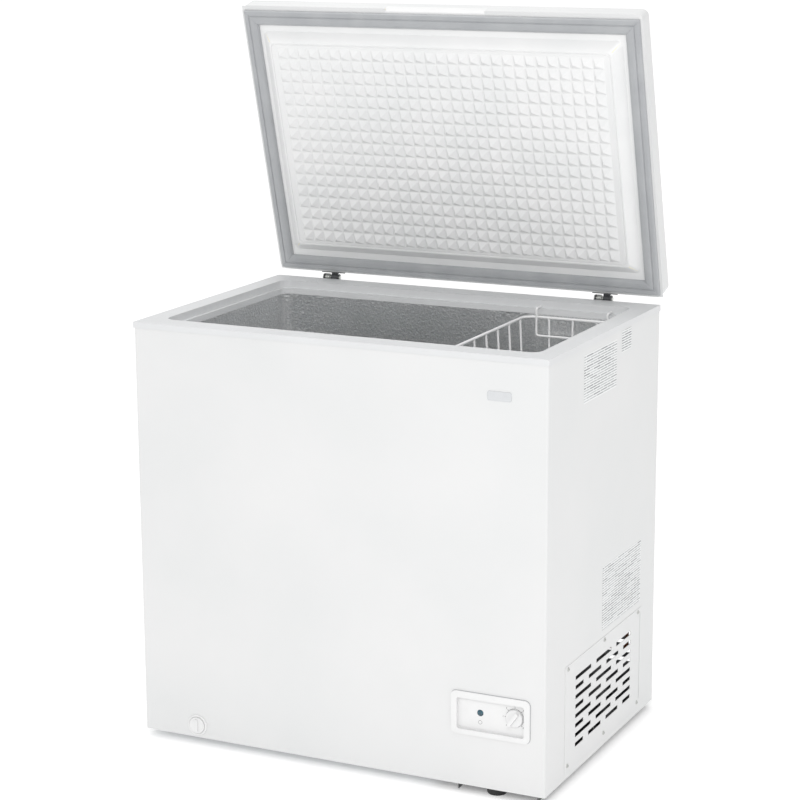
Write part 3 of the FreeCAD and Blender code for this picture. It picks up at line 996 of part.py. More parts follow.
# The hangers' cross bar lies against the end wires, which lean inward below the rim.
LEAN = "(basket_taper * hanger_drop / basket_deep)"
hooks = []
for name, rim_y, seat_y, inward in (("front", BASKET_Y0, f"{FRONT} + rim_front + hook_in", 1),
                                    ("back", BASKET_Y1, f"{BACK} - rim_back - hook_in", -1)):
    leg_y = f"{rim_y} + {inward} * ({LEAN} + 2 * wire_radius)"
    legs_x = [f"({BASKET_X0} + {BASKET_X1} + {flank} * hanger_width) / 2" for flank in (-1, 1)]
    bar_z = f"{BASKET_TOP} - hanger_drop"
    hooks.append(tube(f"hook_{name}", [
        (legs_x[0], seat_y, HOOK_Z), (legs_x[0], leg_y, HOOK_Z), (legs_x[0], leg_y, bar_z),
        (legs_x[1], leg_y, bar_z), (legs_x[1], leg_y, HOOK_Z), (legs_x[1], seat_y, HOOK_Z)],
        "wire_radius", "hanger_bend"))
piece("basket_hangers", grouped("basket_hangers", hooks))

# Labels on the right-hand side and a plain plate on the front.
CARE_Z = f"({BASE} + grille_high + care_above)"
sticker_heights = {"rating": (f"{TOP} - rating_low", f"{TOP} - rating_high"),
                   "class": (f"{TOP} - class_low", f"{TOP} - class_high"),
                   "care": (CARE_Z, f"{CARE_Z} + care_tall")}
piece("side_labels", grouped("side_labels", [
    block(f"{name}_sticker", (RIGHT, f"{FRONT} + {name}_front", low),
          (f"{RIGHT} + label_sheet", f"{FRONT} + {name}_back", high))
    for name, (low, high) in sticker_heights.items()]))
piece("front_badge", prism("front_badge",
                           (f"{RIGHT} - badge_in", f"{FRONT} - badge_proud", f"{TOP} - badge_down"),
                           (f"{RIGHT} - badge_out", FRONT, f"{TOP} - badge_up"), "badge_corner", "y"))

doc.recompute()
for item in doc.Objects:
    if "Invalid" in item.State or "Error" in item.State:
        raise SystemExit(f"{item.Label} failed: {item.State}")
os.makedirs("parts", exist_ok=True)
for item in pieces:
    shape = item.Shape
    if shape.isNull() or not shape.isValid():
        raise SystemExit(f"{item.Label} has no valid shape")
    shape.exportStep(f"parts/{item.Label}.step")
    print(f"{item.Label}: {len(shape.Solids)} solid(s), {shape.Volume / 1000:.1f} cm3")
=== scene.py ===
# %% [markdown]
# # A chest freezer with its lid open
# The cabinet, lid, hinges, basket and drain come from the engineering model, which fixes every
# size and place. Blender's job is how it looks: each sheet, moulding and wire gets the surface
# its maker gave it, and the pieces with fine relief, such as the lid's liner and the wire basket,
# are built again in detail.

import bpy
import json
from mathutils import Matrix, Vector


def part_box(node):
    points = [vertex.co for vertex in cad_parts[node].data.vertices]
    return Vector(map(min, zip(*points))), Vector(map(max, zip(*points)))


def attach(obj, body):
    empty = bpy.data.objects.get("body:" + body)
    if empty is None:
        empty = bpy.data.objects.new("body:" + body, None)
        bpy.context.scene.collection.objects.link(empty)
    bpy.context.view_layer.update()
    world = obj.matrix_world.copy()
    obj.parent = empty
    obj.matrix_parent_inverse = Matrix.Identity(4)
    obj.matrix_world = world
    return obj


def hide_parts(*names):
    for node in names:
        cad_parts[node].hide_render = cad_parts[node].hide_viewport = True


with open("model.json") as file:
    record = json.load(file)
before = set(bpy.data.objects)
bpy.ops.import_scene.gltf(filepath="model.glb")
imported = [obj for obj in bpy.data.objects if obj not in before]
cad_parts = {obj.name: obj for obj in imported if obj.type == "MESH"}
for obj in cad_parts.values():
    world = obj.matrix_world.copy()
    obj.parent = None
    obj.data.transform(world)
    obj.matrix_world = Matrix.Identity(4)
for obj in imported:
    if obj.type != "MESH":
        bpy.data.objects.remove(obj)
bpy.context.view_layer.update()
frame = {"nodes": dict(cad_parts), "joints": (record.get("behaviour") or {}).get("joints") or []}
nodes = frame["nodes"]

# %% Modules for meshes, maths and the size note
import json
import math

import bmesh
import bpy
from mathutils import Matrix, Vector

MM = 0.001
SAME_LEVEL = 0.1 * MM

# %% [markdown]
# ## The lid's own upright frame
# The lid is drawn open, but it is far easier to build its pieces as if it were shut, with flat
# faces level. The hinge joint says where the pin is and how far the lid swings, so one matrix
# carries a shut piece to its open place.

# %% Swing between the shut lid and the open lid
hinge = [joint for joint in frame["joints"] if joint["name"] == "lid_hinge"][0]
pin = Vector(hinge["pos_m"])
open_turn = Matrix.Rotation(math.radians(-hinge["range_deg"][0]), 4, Vector(hinge["axis"]))
OPEN_LID = Matrix.Translation(pin) @ open_turn @ Matrix.Translation(-pin)
SHUT_LID = OPEN_LID.inverted()


def shut_points(name):
    """The corners of a lid node's mesh, as they are when the lid is shut."""
    return [SHUT_LID @ vertex.co for vertex in nodes[name].data.vertices]


def span(points):
    """The lowest and highest corner of some points."""
    lows = Vector([min(point[axis] for point in points) for axis in range(3)])
    highs = Vector([max(point[axis] for point in points) for axis in range(3)])
    return lows, highs


def span_at(points, height):
    """The same, for the points at one height."""
    return span([point for point in points if abs(point.z - height) < SAME_LEVEL])


liner_points = shut_points("lid_liner")
liner_low, liner_high = span(liner_points)
gasket_low, gasket_high = span(shut_points("lid_gasket"))
shell_low = span(shut_points("lid_shell"))[0]
rim_height = shell_low.z
print("lid opens by", round(-hinge["range_deg"][0], 1), "degrees; rim at", round(rim_height, 4))

# %% [markdown]
# ## Colours and nodes
# Paint charts and screens give colours as sRGB hex, but the renderer adds light in linear values.
# One function converts them. One more adds a shader node with its settings and links, which keeps
# each material down to the lines that matter.

# %% Colour and node helpers
def tone(code):
    """An sRGB hex colour as linear red, green, blue and alpha."""
    levels = [int(code[start:start + 2], 16) / 255 for start in (1, 3, 5)]
    linear = [level / 12.92 if level <= 0.04045 else ((level + 0.055) / 1.055) ** 2.4
              for level in levels]
    return (*linear, 1.0)


def node(tree, kind, inputs=None, **settings):
    """Adds a node. An input is a plain value, or another node's output to link in."""
    made = tree.nodes.new(kind)
    for name, value in settings.items():
        setattr(made, name, value)
    for name, value in (inputs or {}).items():
        if isinstance(value, bpy.types.NodeSocket):
            tree.links.new(value, made.inputs[name])
        else:
            made.inputs[name].default_value = value
    return made


def blank(name, **constants):
    """A material, its tree, its shader with constants set, and the piece's own coordinates."""
    material = bpy.data.materials.new(name)
    material.use_nodes = True
    tree = material.node_tree
    shader = tree.nodes["Principled BSDF"]
    for socket, value in constants.items():
        shader.inputs[socket.replace("_", " ")].default_value = value
    place = node(tree, "ShaderNodeTexCoord").outputs["Object"]
    return material, tree, shader, place


def blend_tones(tree, shader, fac, tones, stops=(0.3, 0.7)):
    """Colours the shader between two tones by a pattern."""
    ramp = node(tree, "ShaderNodeValToRGB", {"Fac": fac})
    for element, stop, code in zip(ramp.color_ramp.elements, stops, tones):
        element.position = stop
        element.color = tone(code)
    tree.links.new(ramp.outputs["Color"], shader.inputs["Base Color"])


def blend_gloss(tree, shader, fac, low, high):
    """Lets the roughness wander between two values with a pattern."""
    spread = node(tree, "ShaderNodeMapRange", {"Value": fac, "To Min": low, "To Max": high})
    tree.links.new(spread.outputs["Result"], shader.inputs["Roughness"])


def raise_surface(tree, shader, height, depth_mm, strength=1.0):
    """Tilts the surface's normals as a relief of this depth would."""
    relief = node(tree, "ShaderNodeBump",
                  {"Height": height, "Distance": depth_mm * MM, "Strength": strength})
    tree.links.new(relief.outputs["Normal"], shader.inputs["Normal"])


def mottled(name, tones, patch_mm, gloss, grain_mm, depth_mm, **constants):
    """A finish whose colour and gloss drift over broad patches, with a fine surface grain."""
    material, tree, shader, place = blank(name, **constants)
    patch = node(tree, "ShaderNodeTexNoise",
                 {"Vector": place, "Scale": 1000 / patch_mm, "Detail": 3.0})
    grain = node(tree, "ShaderNodeTexNoise",
                 {"Vector": place, "Scale": 1000 / grain_mm, "Detail": 2.0})
    blend_tones(tree, shader, patch.outputs["Fac"], tones)
    blend_gloss(tree, shader, patch.outputs["Fac"], *gloss)
    raise_surface(tree, shader, grain.outputs["Fac"], depth_mm)
    return material


# %% [markdown]
# ## Paint and plastics
# Most of a freezer is white, yet no two whites on it are the same. The steel is powder coated:
# the powder melts into a skin with a faint orange peel about 2 mm across. Injection-moulded ABS
# is smoother and a touch warmer, vacuum-formed polystyrene keeps a soft gloss, and the basket is
# steel wire dipped in molten coating. All of these are one recipe, a mottled finish, with
# different numbers.

# %% White finishes
finishes = {}
# Powder-coated steel: IOR 1.5, satin, orange peel drawn 3 mm across so that it shows.
finishes["painted_white"] = mottled(
    "Powder_Coated_Steel", ("#D4D5D5", "#D9D9D9"), patch_mm=260, gloss=(0.36, 0.44), grain_mm=3,
    depth_mm=0.05, IOR=1.5, Coat_Weight=0.12, Coat_Roughness=0.2)
# Moulded ABS collar: IOR 1.54, spark-eroded mould grain under 1 mm, drawn at 1.2 mm.
finishes["collar_plastic"] = mottled(
    "Moulded_ABS_Collar", ("#CFD0D1", "#D5D6D7"), patch_mm=140, gloss=(0.38, 0.46), grain_mm=1.2,
    depth_mm=0.03, IOR=1.54)
# Moulded ABS trim for the panel, knob, handle and plug.
finishes["white_plastic"] = mottled(
    "Moulded_ABS_Trim", ("#DBDBDB", "#E0E0E0"), patch_mm=60, gloss=(0.34, 0.42), grain_mm=1.0,
    depth_mm=0.02, IOR=1.54)
# Vacuum-formed polystyrene: the sheet thins where it stretches, which shows as slow changes of
# gloss.
finishes["lid_liner_plastic"] = mottled(
    "Vacuum_Formed_Polystyrene", ("#E0E1E1", "#E5E5E5"), patch_mm=90, gloss=(0.34, 0.44),
    grain_mm=4, depth_mm=0.03, IOR=1.59)
# Dipped coating on wire: thick, smooth and slightly wavy.
finishes["wire_coating"] = mottled(
    "Dipped_Wire_Coating", ("#E8E8E8", "#EEEEEE"), patch_mm=30, gloss=(0.25, 0.33), grain_mm=6,
    depth_mm=0.08, IOR=1.5, Coat_Weight=0.2, Coat_Roughness=0.15)
# Magnetic vinyl: soft PVC with plasticiser bloom, so it is dull and uneven.
finishes["gasket_vinyl"] = mottled(
    "Extruded_Soft_Vinyl", ("#A0A2A5", "#AAACAE"), patch_mm=45, gloss=(0.5, 0.62), grain_mm=1.5,
    depth_mm=0.03, IOR=1.53, Sheen_Weight=0.15, Sheen_Roughness=0.5)
# Pearl plate: a smooth moulded badge blank with a sprayed pearl lacquer.
finishes["badge_plate"] = mottled(
    "Pearl_Lacquered_Plate", ("#C6C8CA", "#CDCFD1"), patch_mm=30, gloss=(0.2, 0.3), grain_mm=0.8,
    depth_mm=0.01, IOR=1.5, Metallic=0.25, Coat_Weight=0.5, Coat_Roughness=0.08)
print("white finishes:", len(finishes))

# %% [markdown]
# ## Dark finishes
# The feet and relay housings are black polypropylene, the grommets are rubber, and the hinge
# leaves are steel dipped in black paint. Black things are never pure black: they are drawn as
# very dark greys, and the rubber is rougher than the plastic.

# %% Dark finishes
finishes["black_plastic"] = mottled(
    "Moulded_Black_Polypropylene", ("#161617", "#1F1F20"), patch_mm=20, gloss=(0.42, 0.55),
    grain_mm=0.9, depth_mm=0.03, IOR=1.49)
finishes["black_rubber"] = mottled(
    "Moulded_Black_Rubber", ("#141414", "#1E1D1D"), patch_mm=12, gloss=(0.68, 0.82), grain_mm=1.1,
    depth_mm=0.05, IOR=1.52)
finishes["dark_steel"] = mottled(
    "Black_Dipped_Steel", ("#2A2B2D", "#3B3C3E"), patch_mm=18, gloss=(0.32, 0.45), grain_mm=1.3,
    depth_mm=0.03, IOR=1.5, Coat_Weight=0.25, Coat_Roughness=0.2)
# The tinted lens: clear polycarbonate with a dark teal dye, polished, over an unlit lamp.
finishes["teal_lens"] = mottled(
    "Tinted_Polycarbonate_Lens", ("#06303E", "#0E5061"), patch_mm=6, gloss=(0.06, 0.12),
    grain_mm=3, depth_mm=0.01, IOR=1.58, Coat_Weight=0.6, Coat_Roughness=0.03)
print("finishes with the dark ones:", len(finishes))

# %% [markdown]
# ## Bare metals
# A metal's colour is its reflection, so metallic is 1 and the IOR keeps its default. Galvanised
# sheet shows spangle, the crystals that zinc makes as it freezes. Voronoi cells are shaped like
# that. Stucco aluminium is rolled with a pebbled pattern so that scratches don't show. Each
# pebble catches the light, which gives the sparkle inside the tank.

# %% Galvanised sheet
galvanised, tree, shader, place = blank("Hot_Dip_Galvanised_Sheet", Metallic=1.0)
SPANGLE_MM = 9
spangle = node(tree, "ShaderNodeTexVoronoi", {"Vector": place, "Scale": 1000 / SPANGLE_MM})
grey = node(tree, "ShaderNodeSeparateColor", {"Color": spangle.outputs["Color"]})
blend_tones(tree, shader, grey.outputs["Red"], ("#A9ADB0", "#C6C9CB"), (0.1, 0.9))
blend_gloss(tree, shader, grey.outputs["Green"], 0.36, 0.55)
raise_surface(tree, shader, spangle.outputs["Distance"], 0.05)
finishes["galvanised"] = galvanised

# %% Stucco aluminium
stucco, tree, shader, place = blank("Stucco_Embossed_Aluminium", Metallic=1.0)
PEBBLE_MM, SWIRL_MM, DRIFT_MM, FLECK_MM = 3.4, 6, 120, 2.6
pebble = node(tree, "ShaderNodeTexVoronoi", {"Vector": place, "Scale": 1000 / PEBBLE_MM},
              feature="SMOOTH_F1")
swirl = node(tree, "ShaderNodeTexNoise", {"Vector": place, "Scale": 1000 / SWIRL_MM, "Detail": 3.0})
drift = node(tree, "ShaderNodeTexNoise", {"Vector": place, "Scale": 1000 / DRIFT_MM, "Detail": 2.0})
fleck = node(tree, "ShaderNodeTexNoise", {"Vector": place, "Scale": 1000 / FLECK_MM, "Detail": 1.0})
blend_tones(tree, shader, fleck.outputs["Fac"], ("#EDEFF0", "#FFFFFF"), (0.4, 0.62))
blend_gloss(tree, shader, drift.outputs["Fac"], 0.26, 0.34)
relief = node(tree, "ShaderNodeMath", {0: pebble.outputs["Distance"], 1: swirl.outputs["Fac"]},
              operation="ADD")
raise_surface(tree, shader, relief.outputs["Value"], 0.38)
finishes["stucco_aluminium"] = stucco

# %% Drawn copper, zinc plate and copper-washed tube
finishes["copper"] = mottled(
    "Drawn_Copper_Tube", ("#B56C4A", "#C98A67"), patch_mm=22, gloss=(0.28, 0.42), grain_mm=1.2,
    depth_mm=0.02, Metallic=1.0)
finishes["zinc_steel"] = mottled(
    "Zinc_Plated_Steel", ("#B9BBB8", "#CBCCC8"), patch_mm=6, gloss=(0.26, 0.36), grain_mm=0.8,
    depth_mm=0.01, Metallic=1.0)
finishes["condenser_steel"] = mottled(
    "Copper_Washed_Steel_Tube", ("#7A6A5E", "#8F7D70"), patch_mm=25, gloss=(0.4, 0.5),
    grain_mm=1.5, depth_mm=0.02, Metallic=1.0)
print("finishes so far:", len(finishes))

# %% [markdown]
# ## Foam and labels
# Poured polyurethane foam is full of tiny cells, and yellows a little. The labels are matt vinyl.
# Their print is left as plain grey rules, drawn with brick rows, with no words at all.

# %% Foam
foam, tree, shader, place = blank("Poured_Polyurethane_Foam", IOR=1.5)
FOAM_CELL_MM = 3
cells = node(tree, "ShaderNodeTexVoronoi", {"Vector": place, "Scale": 1000 / FOAM_CELL_MM})
blend_tones(tree, shader, cells.outputs["Distance"], ("#E6DBB4", "#F1E9CB"), (0.1, 0.6))
blend_gloss(tree, shader, cells.outputs["Distance"], 0.8, 0.95)
raise_surface(tree, shader, cells.outputs["Distance"], 0.3)
finishes["foam"] = foam

# %% Printed vinyl label
label, tree, shader, place = blank("Printed_Vinyl_Label", IOR=1.5, Roughness=0.5)
RULE_LONG, RULE_PITCH, RULE_GAP = 34 * MM, 4.6 * MM, 1.3 * MM
turned = node(tree, "ShaderNodeSeparateXYZ", {"Vector": place})
flat = node(tree, "ShaderNodeCombineXYZ", {"X": turned.outputs["Y"], "Y": turned.outputs["Z"]})
rules = node(tree, "ShaderNodeTexBrick", {
    "Vector": flat.outputs["Vector"], "Color1": tone("#85888A"), "Color2": tone("#C6C8C9"),
    "Mortar": tone("#E6E7E7"), "Scale": 1.0, "Mortar Size": RULE_GAP, "Mortar Smooth": 0.2,
    "Brick Width": RULE_LONG, "Row Height": RULE_PITCH})
tree.links.new(rules.outputs["Color"], shader.inputs["Base Color"])
FIBRE_MM = 1.5
fibre = node(tree, "ShaderNodeTexNoise", {"Vector": place, "Scale": 1000 / FIBRE_MM})
raise_surface(tree, shader, fibre.outputs["Fac"], 0.02)
finishes["label_paper"] = label
print("finishes:", sorted(finishes))

# %% [markdown]
# ## Dressing the engineering pieces
# Every node says which material slot it takes, so the finishes go on by name. The sheets and
# mouldings come in with knife-sharp edges. Real bends and mould lines are rounded by a fraction
# of a millimetre, and that thin rounded edge is what catches the light, so each piece gets a
# small bevel on its sharp edges only.

# %% Give every node its finish
for name, piece in nodes.items():
    wanted = piece.material_slots[0].material.name.split(".")[0]
    if wanted not in finishes:
        print("no finish called", wanted, "for", name)
    piece.material_slots[0].material = finishes.get(wanted, finishes["painted_white"])
print("dressed", len(nodes), "nodes")

# %% Round the sharp edges
EDGES_MM = {
    "top_collar": 1.2, "control_panel": 0.8, "lid_shell": 0.6, "lid_handle": 1.2, "outer_wrap": 0.3,
    "grille_cover": 0.25, "thermostat_knob": 0.7, "drain_plug": 0.8, "drain_socket": 0.5,
    "front_badge": 0.4, "hinge_bracket_left": 0.3, "hinge_bracket_right": 0.3,
    "hinge_leaf_left": 0.3, "hinge_leaf_right": 0.3, "rear_cover": 0.2, "base_tray": 0.25,
    "foot_front_left": 1.0, "foot_front_right": 1.0, "foot_back_left": 1.0, "foot_back_right": 1.0,
    "cord_gland": 0.4, "compressor": 1.0, "terminal_cover": 0.6, "control_housing": 0.5,
}
BEVEL_SEGMENTS = 2
SHARP_EDGE = math.radians(40)
for name, radius in EDGES_MM.items():
    bevel = nodes[name].modifiers.new("rounded_edges", "BEVEL")
    bevel.width = radius * MM
    bevel.segments = BEVEL_SEGMENTS
    bevel.limit_method = "ANGLE"
    bevel.angle_limit = SHARP_EDGE
    bevel.use_clamp_overlap = True
    bevel.harden_normals = False
print("rounded", len(EDGES_MM), "nodes")


# %% [markdown]
# ## Building a piece
# New pieces all go the same way: a mesh is filled in with bmesh, gets a finish and the body it
# rides on, and hides the engineering nodes that it stands in for.

# %% Finish a new piece
def add_piece(name, data, slot_name, body, stands_for=(), matrix=None):
    """Puts new mesh or curve data in the scene as a piece of the freezer."""
    made = bpy.data.objects.new(name, data)
    bpy.context.scene.collection.objects.link(made)
    if matrix is not None:
        made.data.transform(matrix)
    data.materials.append(finishes[slot_name])
    if stands_for:
        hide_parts(*stands_for)
    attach(made, body)
    return made


def mesh_from(mesh):
    """Closes a bmesh, with its faces all turned outward, and hands back the mesh data."""
    bmesh.ops.recalc_face_normals(mesh, faces=mesh.faces)
    data = bpy.data.meshes.new("mesh")
    mesh.to_mesh(data)
    mesh.free()
    return data


# %% [markdown]
# ## The lid's liner
# The inside of the lid is one sheet of polystyrene, sucked down over a mould. A flat lip runs
# under the gasket, a sloping wall steps out to a raised panel, and the panel is covered with
# small pyramids that stiffen it. A bump texture would look flat from the side, so the pyramids
# are real geometry: 30 across and 17 deep.

# %% Rings of the liner's edge
# The lip runs right out to the sides, so only points nearer the middle show where the slope starts.
SIDE_STRIP = 20 * MM
middle_points = [point for point in liner_points if abs(point.x) < liner_high.x - SIDE_STRIP]
BASE_LOW, BASE_HIGH = span_at(middle_points, rim_height)
FACE_LOW, FACE_HIGH = span_at(liner_points, liner_low.z)
CORNER_STEPS = 6


def ring(mesh, low, high, inset, height, radius):
    """A rounded rectangle of vertices between two corners, inset by some millimetres."""
    made = []
    west, south = low.x + inset, low.y + inset
    east, north = high.x - inset, high.y - inset
    corners = ((east, north, 0), (west, north, 90), (west, south, 180), (east, south, 270))
    for corner_x, corner_y, start in corners:
        centre_x = corner_x - math.copysign(radius, corner_x - (east + west) / 2)
        centre_y = corner_y - math.copysign(radius, corner_y - (north + south) / 2)
        for step in range(CORNER_STEPS + 1):
            angle = math.radians(start + 90 * step / CORNER_STEPS)
            x = centre_x + radius * math.cos(angle)
            y = centre_y + radius * math.sin(angle)
            made.append(mesh.verts.new((x, y, height)))
    return made


def bridge(mesh, outer, inner):
    """Faces between two rings with the same number of vertices."""
    for index in range(len(outer)):
        following = (index + 1) % len(outer)
        mesh.faces.new((outer[index], outer[following], inner[following], inner[index]))


liner = bmesh.new()
panel_z = liner_low.z
# Each row: the rectangle's two corners, how far in from it, the height, and the corner radius.
profile = [
    (liner_low, liner_high, 0.3 * MM, rim_height, 1 * MM),
    (BASE_LOW, BASE_HIGH, -2 * MM, rim_height, 10 * MM),
    (BASE_LOW, BASE_HIGH, -0.5 * MM, rim_height - 0.4 * MM, 10 * MM),
    (BASE_LOW, BASE_HIGH, 0.6 * MM, rim_height - 1.5 * MM, 10 * MM),
    (FACE_LOW, FACE_HIGH, -1.6 * MM, panel_z + 1.5 * MM, 9 * MM),
    (FACE_LOW, FACE_HIGH, -0.3 * MM, panel_z + 0.3 * MM, 9 * MM),
    (FACE_LOW, FACE_HIGH, 1.2 * MM, panel_z, 8 * MM),
    (FACE_LOW, FACE_HIGH, 2.6 * MM, panel_z, 8 * MM),
    (FACE_LOW, FACE_HIGH, 3.4 * MM, panel_z + 1.2 * MM, 7.5 * MM),
    (FACE_LOW, FACE_HIGH, 4.4 * MM, panel_z + 1.2 * MM, 7 * MM),
    (FACE_LOW, FACE_HIGH, 5.2 * MM, panel_z, 7 * MM),
]
rings = [ring(liner, *row) for row in profile]
for outer, inner in zip(rings, rings[1:]):
    bridge(liner, outer, inner)
print("liner edge:", len(rings), "rings; panel",
      [round(value, 4) for value in FACE_HIGH - FACE_LOW])

# %% Pyramids on the liner's panel
COLUMNS = 30
ROWS = 17
BORDER = Vector((15 * MM, 9 * MM))
FIELD_LOW = FACE_LOW.to_2d() + BORDER
FIELD_HIGH = FACE_HIGH.to_2d() - BORDER
LAND = 0.9 * MM
PEAK = 5.2 * MM
PEAK_SHIFT = (-0.2, 0.14)
pitch_x = (FIELD_HIGH.x - FIELD_LOW.x) / COLUMNS
pitch_y = (FIELD_HIGH.y - FIELD_LOW.y) / ROWS
to_peak = Vector((PEAK_SHIFT[0] * pitch_x, PEAK_SHIFT[1] * pitch_y, -PEAK))
grid = [[liner.verts.new((FIELD_LOW.x + column * pitch_x, FIELD_LOW.y + row * pitch_y, panel_z))
         for column in range(COLUMNS + 1)] for row in range(ROWS + 1)]
for row in range(ROWS):
    for column in range(COLUMNS):
        cell = [grid[row][column], grid[row][column + 1],
                grid[row + 1][column + 1], grid[row + 1][column]]
        middle = sum((corner.co for corner in cell), Vector()) / 4
        foot = []
        for corner in cell:
            inward = [math.copysign(LAND, middle[axis] - corner.co[axis]) for axis in range(2)]
            foot.append(liner.verts.new(corner.co + Vector(inward + [0])))
        peak = liner.verts.new(middle + to_peak)
        for side in range(4):
            ahead = (side + 1) % 4
            liner.faces.new((cell[side], cell[ahead], foot[ahead], foot[side]))
            liner.faces.new((foot[side], foot[ahead], peak))
border = (grid[0] + [row[-1] for row in grid[1:]] + grid[-1][-2::-1]
          + [row[0] for row in grid[-2:0:-1]])
gap_sides = set(border) | set(rings[-1])
loops = [edge for edge in liner.edges
         if edge.is_boundary and all(vertex in gap_sides for vertex in edge.verts)]
bmesh.ops.triangle_fill(liner, use_beauty=True, edges=loops)
print("pyramids:", COLUMNS * ROWS, "pitch", round(pitch_x / MM, 1), "x",
      round(pitch_y / MM, 1), "mm")

# %% Thicken the sheet and hang it in the lid
SHEET = 1.2 * MM
lid_liner = add_piece("lid_liner_formed", mesh_from(liner), "lid_liner_plastic", "lid",
                      ["lid_liner"], OPEN_LID)
if lid_liner.data.polygons[0].normal.dot(OPEN_LID.to_3x3() @ Vector((0, 0, -1))) < 0:
    lid_liner.data.flip_normals()
sheet = lid_liner.modifiers.new("sheet", "SOLIDIFY")
sheet.thickness = SHEET
sheet.offset = -1
print("lid liner faces:", len(lid_liner.data.polygons))

# %% [markdown]
# ## The gasket
# The seal is extruded soft vinyl with a magnet strip inside, welded at four mitred corners. Its
# section has a flat foot, a bellows groove and a crowned face. The section is carried round a
# rectangle, and each corner gets a fine sunk line where the two lengths were welded.

# %% Extrude the gasket round the lid
depth = gasket_high.z - gasket_low.z
# Each point: millimetres across the section, and how proud it stands as a share of the depth.
SECTION = [(0.0, 0.0), (0.2, 0.45), (1.2, 0.72), (3.5, 0.8), (9.0, 0.8), (9.8, 0.62), (11.0, 0.6),
           (11.8, 0.78), (14.0, 0.95), (18.0, 1.0), (22.5, 0.96), (25.6, 0.82),
           (27.4, 0.5), (27.8, 0.0)]
SECTION_WIDTH = 28.0
WELD_HALF = 1.2 * MM
WELD_SINK = 0.7 * MM
gasket_inner = min(abs(point.x) for point in shut_points("lid_gasket"))
section_scale = (gasket_high.x - gasket_inner) / SECTION_WIDTH
seal = bmesh.new()
seal_rings = []
for across, proud in SECTION:
    inset = across * section_scale
    height = gasket_high.z - proud * depth
    west, east = gasket_low.x + inset, gasket_high.x - inset
    south, north = gasket_low.y + inset, gasket_high.y - inset
    around = []
    for corner_x, corner_y in ((east, north), (west, north), (west, south), (east, south)):
        toward_x = math.copysign(1, -corner_x)
        toward_y = math.copysign(1, (south + north) / 2 - corner_y)
        first_along_y = (corner_x > 0) == (corner_y > (south + north) / 2)
        before = (0, toward_y) if first_along_y else (toward_x, 0)
        after = (toward_x, 0) if first_along_y else (0, toward_y)
        sunk = min(height + WELD_SINK, gasket_high.z)
        for (step_x, step_y), level in ((before, height), ((0, 0), sunk), (after, height)):
            weld_x, weld_y = corner_x + step_x * WELD_HALF, corner_y + step_y * WELD_HALF
            around.append(seal.verts.new((weld_x, weld_y, level)))
    seal_rings.append(around)
for outer, inner in zip(seal_rings, seal_rings[1:] + seal_rings[:1]):
    bridge(seal, outer, inner)
add_piece("lid_gasket_seal", mesh_from(seal), "gasket_vinyl", "lid", ["lid_gasket"], OPEN_LID)
print("gasket section:", len(SECTION), "points, scale", round(section_scale / MM, 3))

# %% [markdown]
# ## The wire basket
# The basket is bent from round wire and spot welded, then dipped. Each cross wire is one length:
# down one side, across the floor and up the other. Curves with a round bevel are just right for
# wire, because only the bends need placing.

# %% Bends in a wire
def bent(points, radius, steps=6, closed=False):
    """A wire's line through some corners, each rounded to a bend radius."""
    corners = [Vector(point) for point in points]
    count = len(corners)
    line = []
    for index, corner in enumerate(corners):
        if not closed and index in (0, count - 1):
            line.append(corner)
            continue
        arriving = (corner - corners[index - 1]).normalized()
        leaving = (corners[(index + 1) % count] - corner).normalized()
        turn = arriving.angle(leaving)
        reach = radius * math.tan(turn / 2)
        centre = corner + (leaving - arriving).normalized() * (radius / math.cos(turn / 2))
        start = corner - arriving * reach - centre
        axis = arriving.cross(leaving).normalized()
        for step in range(steps + 1):
            line.append(centre + Matrix.Rotation(turn * step / steps, 3, axis) @ start)
    return line


def wire(curve, points, closed=False):
    """Adds one wire to a curve."""
    spline = curve.splines.new("POLY")
    spline.points.add(len(points) - 1)
    for place, point in zip(spline.points, points):
        place.co = (*point, 1.0)
    spline.use_cyclic_u = closed


def wire_curve(radius):
    """An empty curve that gives its lines a round section."""
    curve = bpy.data.curves.new("wires", "CURVE")
    curve.dimensions = "3D"
    curve.bevel_depth = radius
    curve.bevel_resolution = 4
    curve.use_fill_caps = True
    return curve


# %% Places on the basket
rim_low, rim_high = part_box("basket_rim")
floor_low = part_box("basket_floor_wires")[0]
RIM_WIRE = (rim_high.z - rim_low.z) / 2
WIRE = 2.0 * MM
BEND = 9 * MM
RIM_BEND = 24 * MM
FLOOR_BEND = 16 * MM
FLOOR_IN_X, FLOOR_IN_Y = 5 * MM, 4 * MM
WELD_OVERLAP = 0.3 * MM
rim_z = (rim_low.z + rim_high.z) / 2
rim_x = (rim_low.x + RIM_WIRE, rim_high.x - RIM_WIRE)
rim_y = (rim_low.y + RIM_WIRE, rim_high.y - RIM_WIRE)
TAPER = 14 * MM
floor_z = floor_low.z + WIRE
# Each wire's end stops inside the rim wire, where it is welded.
top_z = rim_z - RIM_WIRE * 0.6
print("basket rim at", round(rim_z, 4), "floor at", round(floor_z, 4))

# %% Bend the basket's wires
rim_curve = wire_curve(RIM_WIRE)
rim_corners = [(rim_x[0], rim_y[0], rim_z), (rim_x[1], rim_y[0], rim_z),
               (rim_x[1], rim_y[1], rim_z), (rim_x[0], rim_y[1], rim_z)]
wire(rim_curve, bent(rim_corners, RIM_BEND, 10, True), True)
add_piece("basket_rim_wire", rim_curve, "wire_coating", "basket", ["basket_rim"])

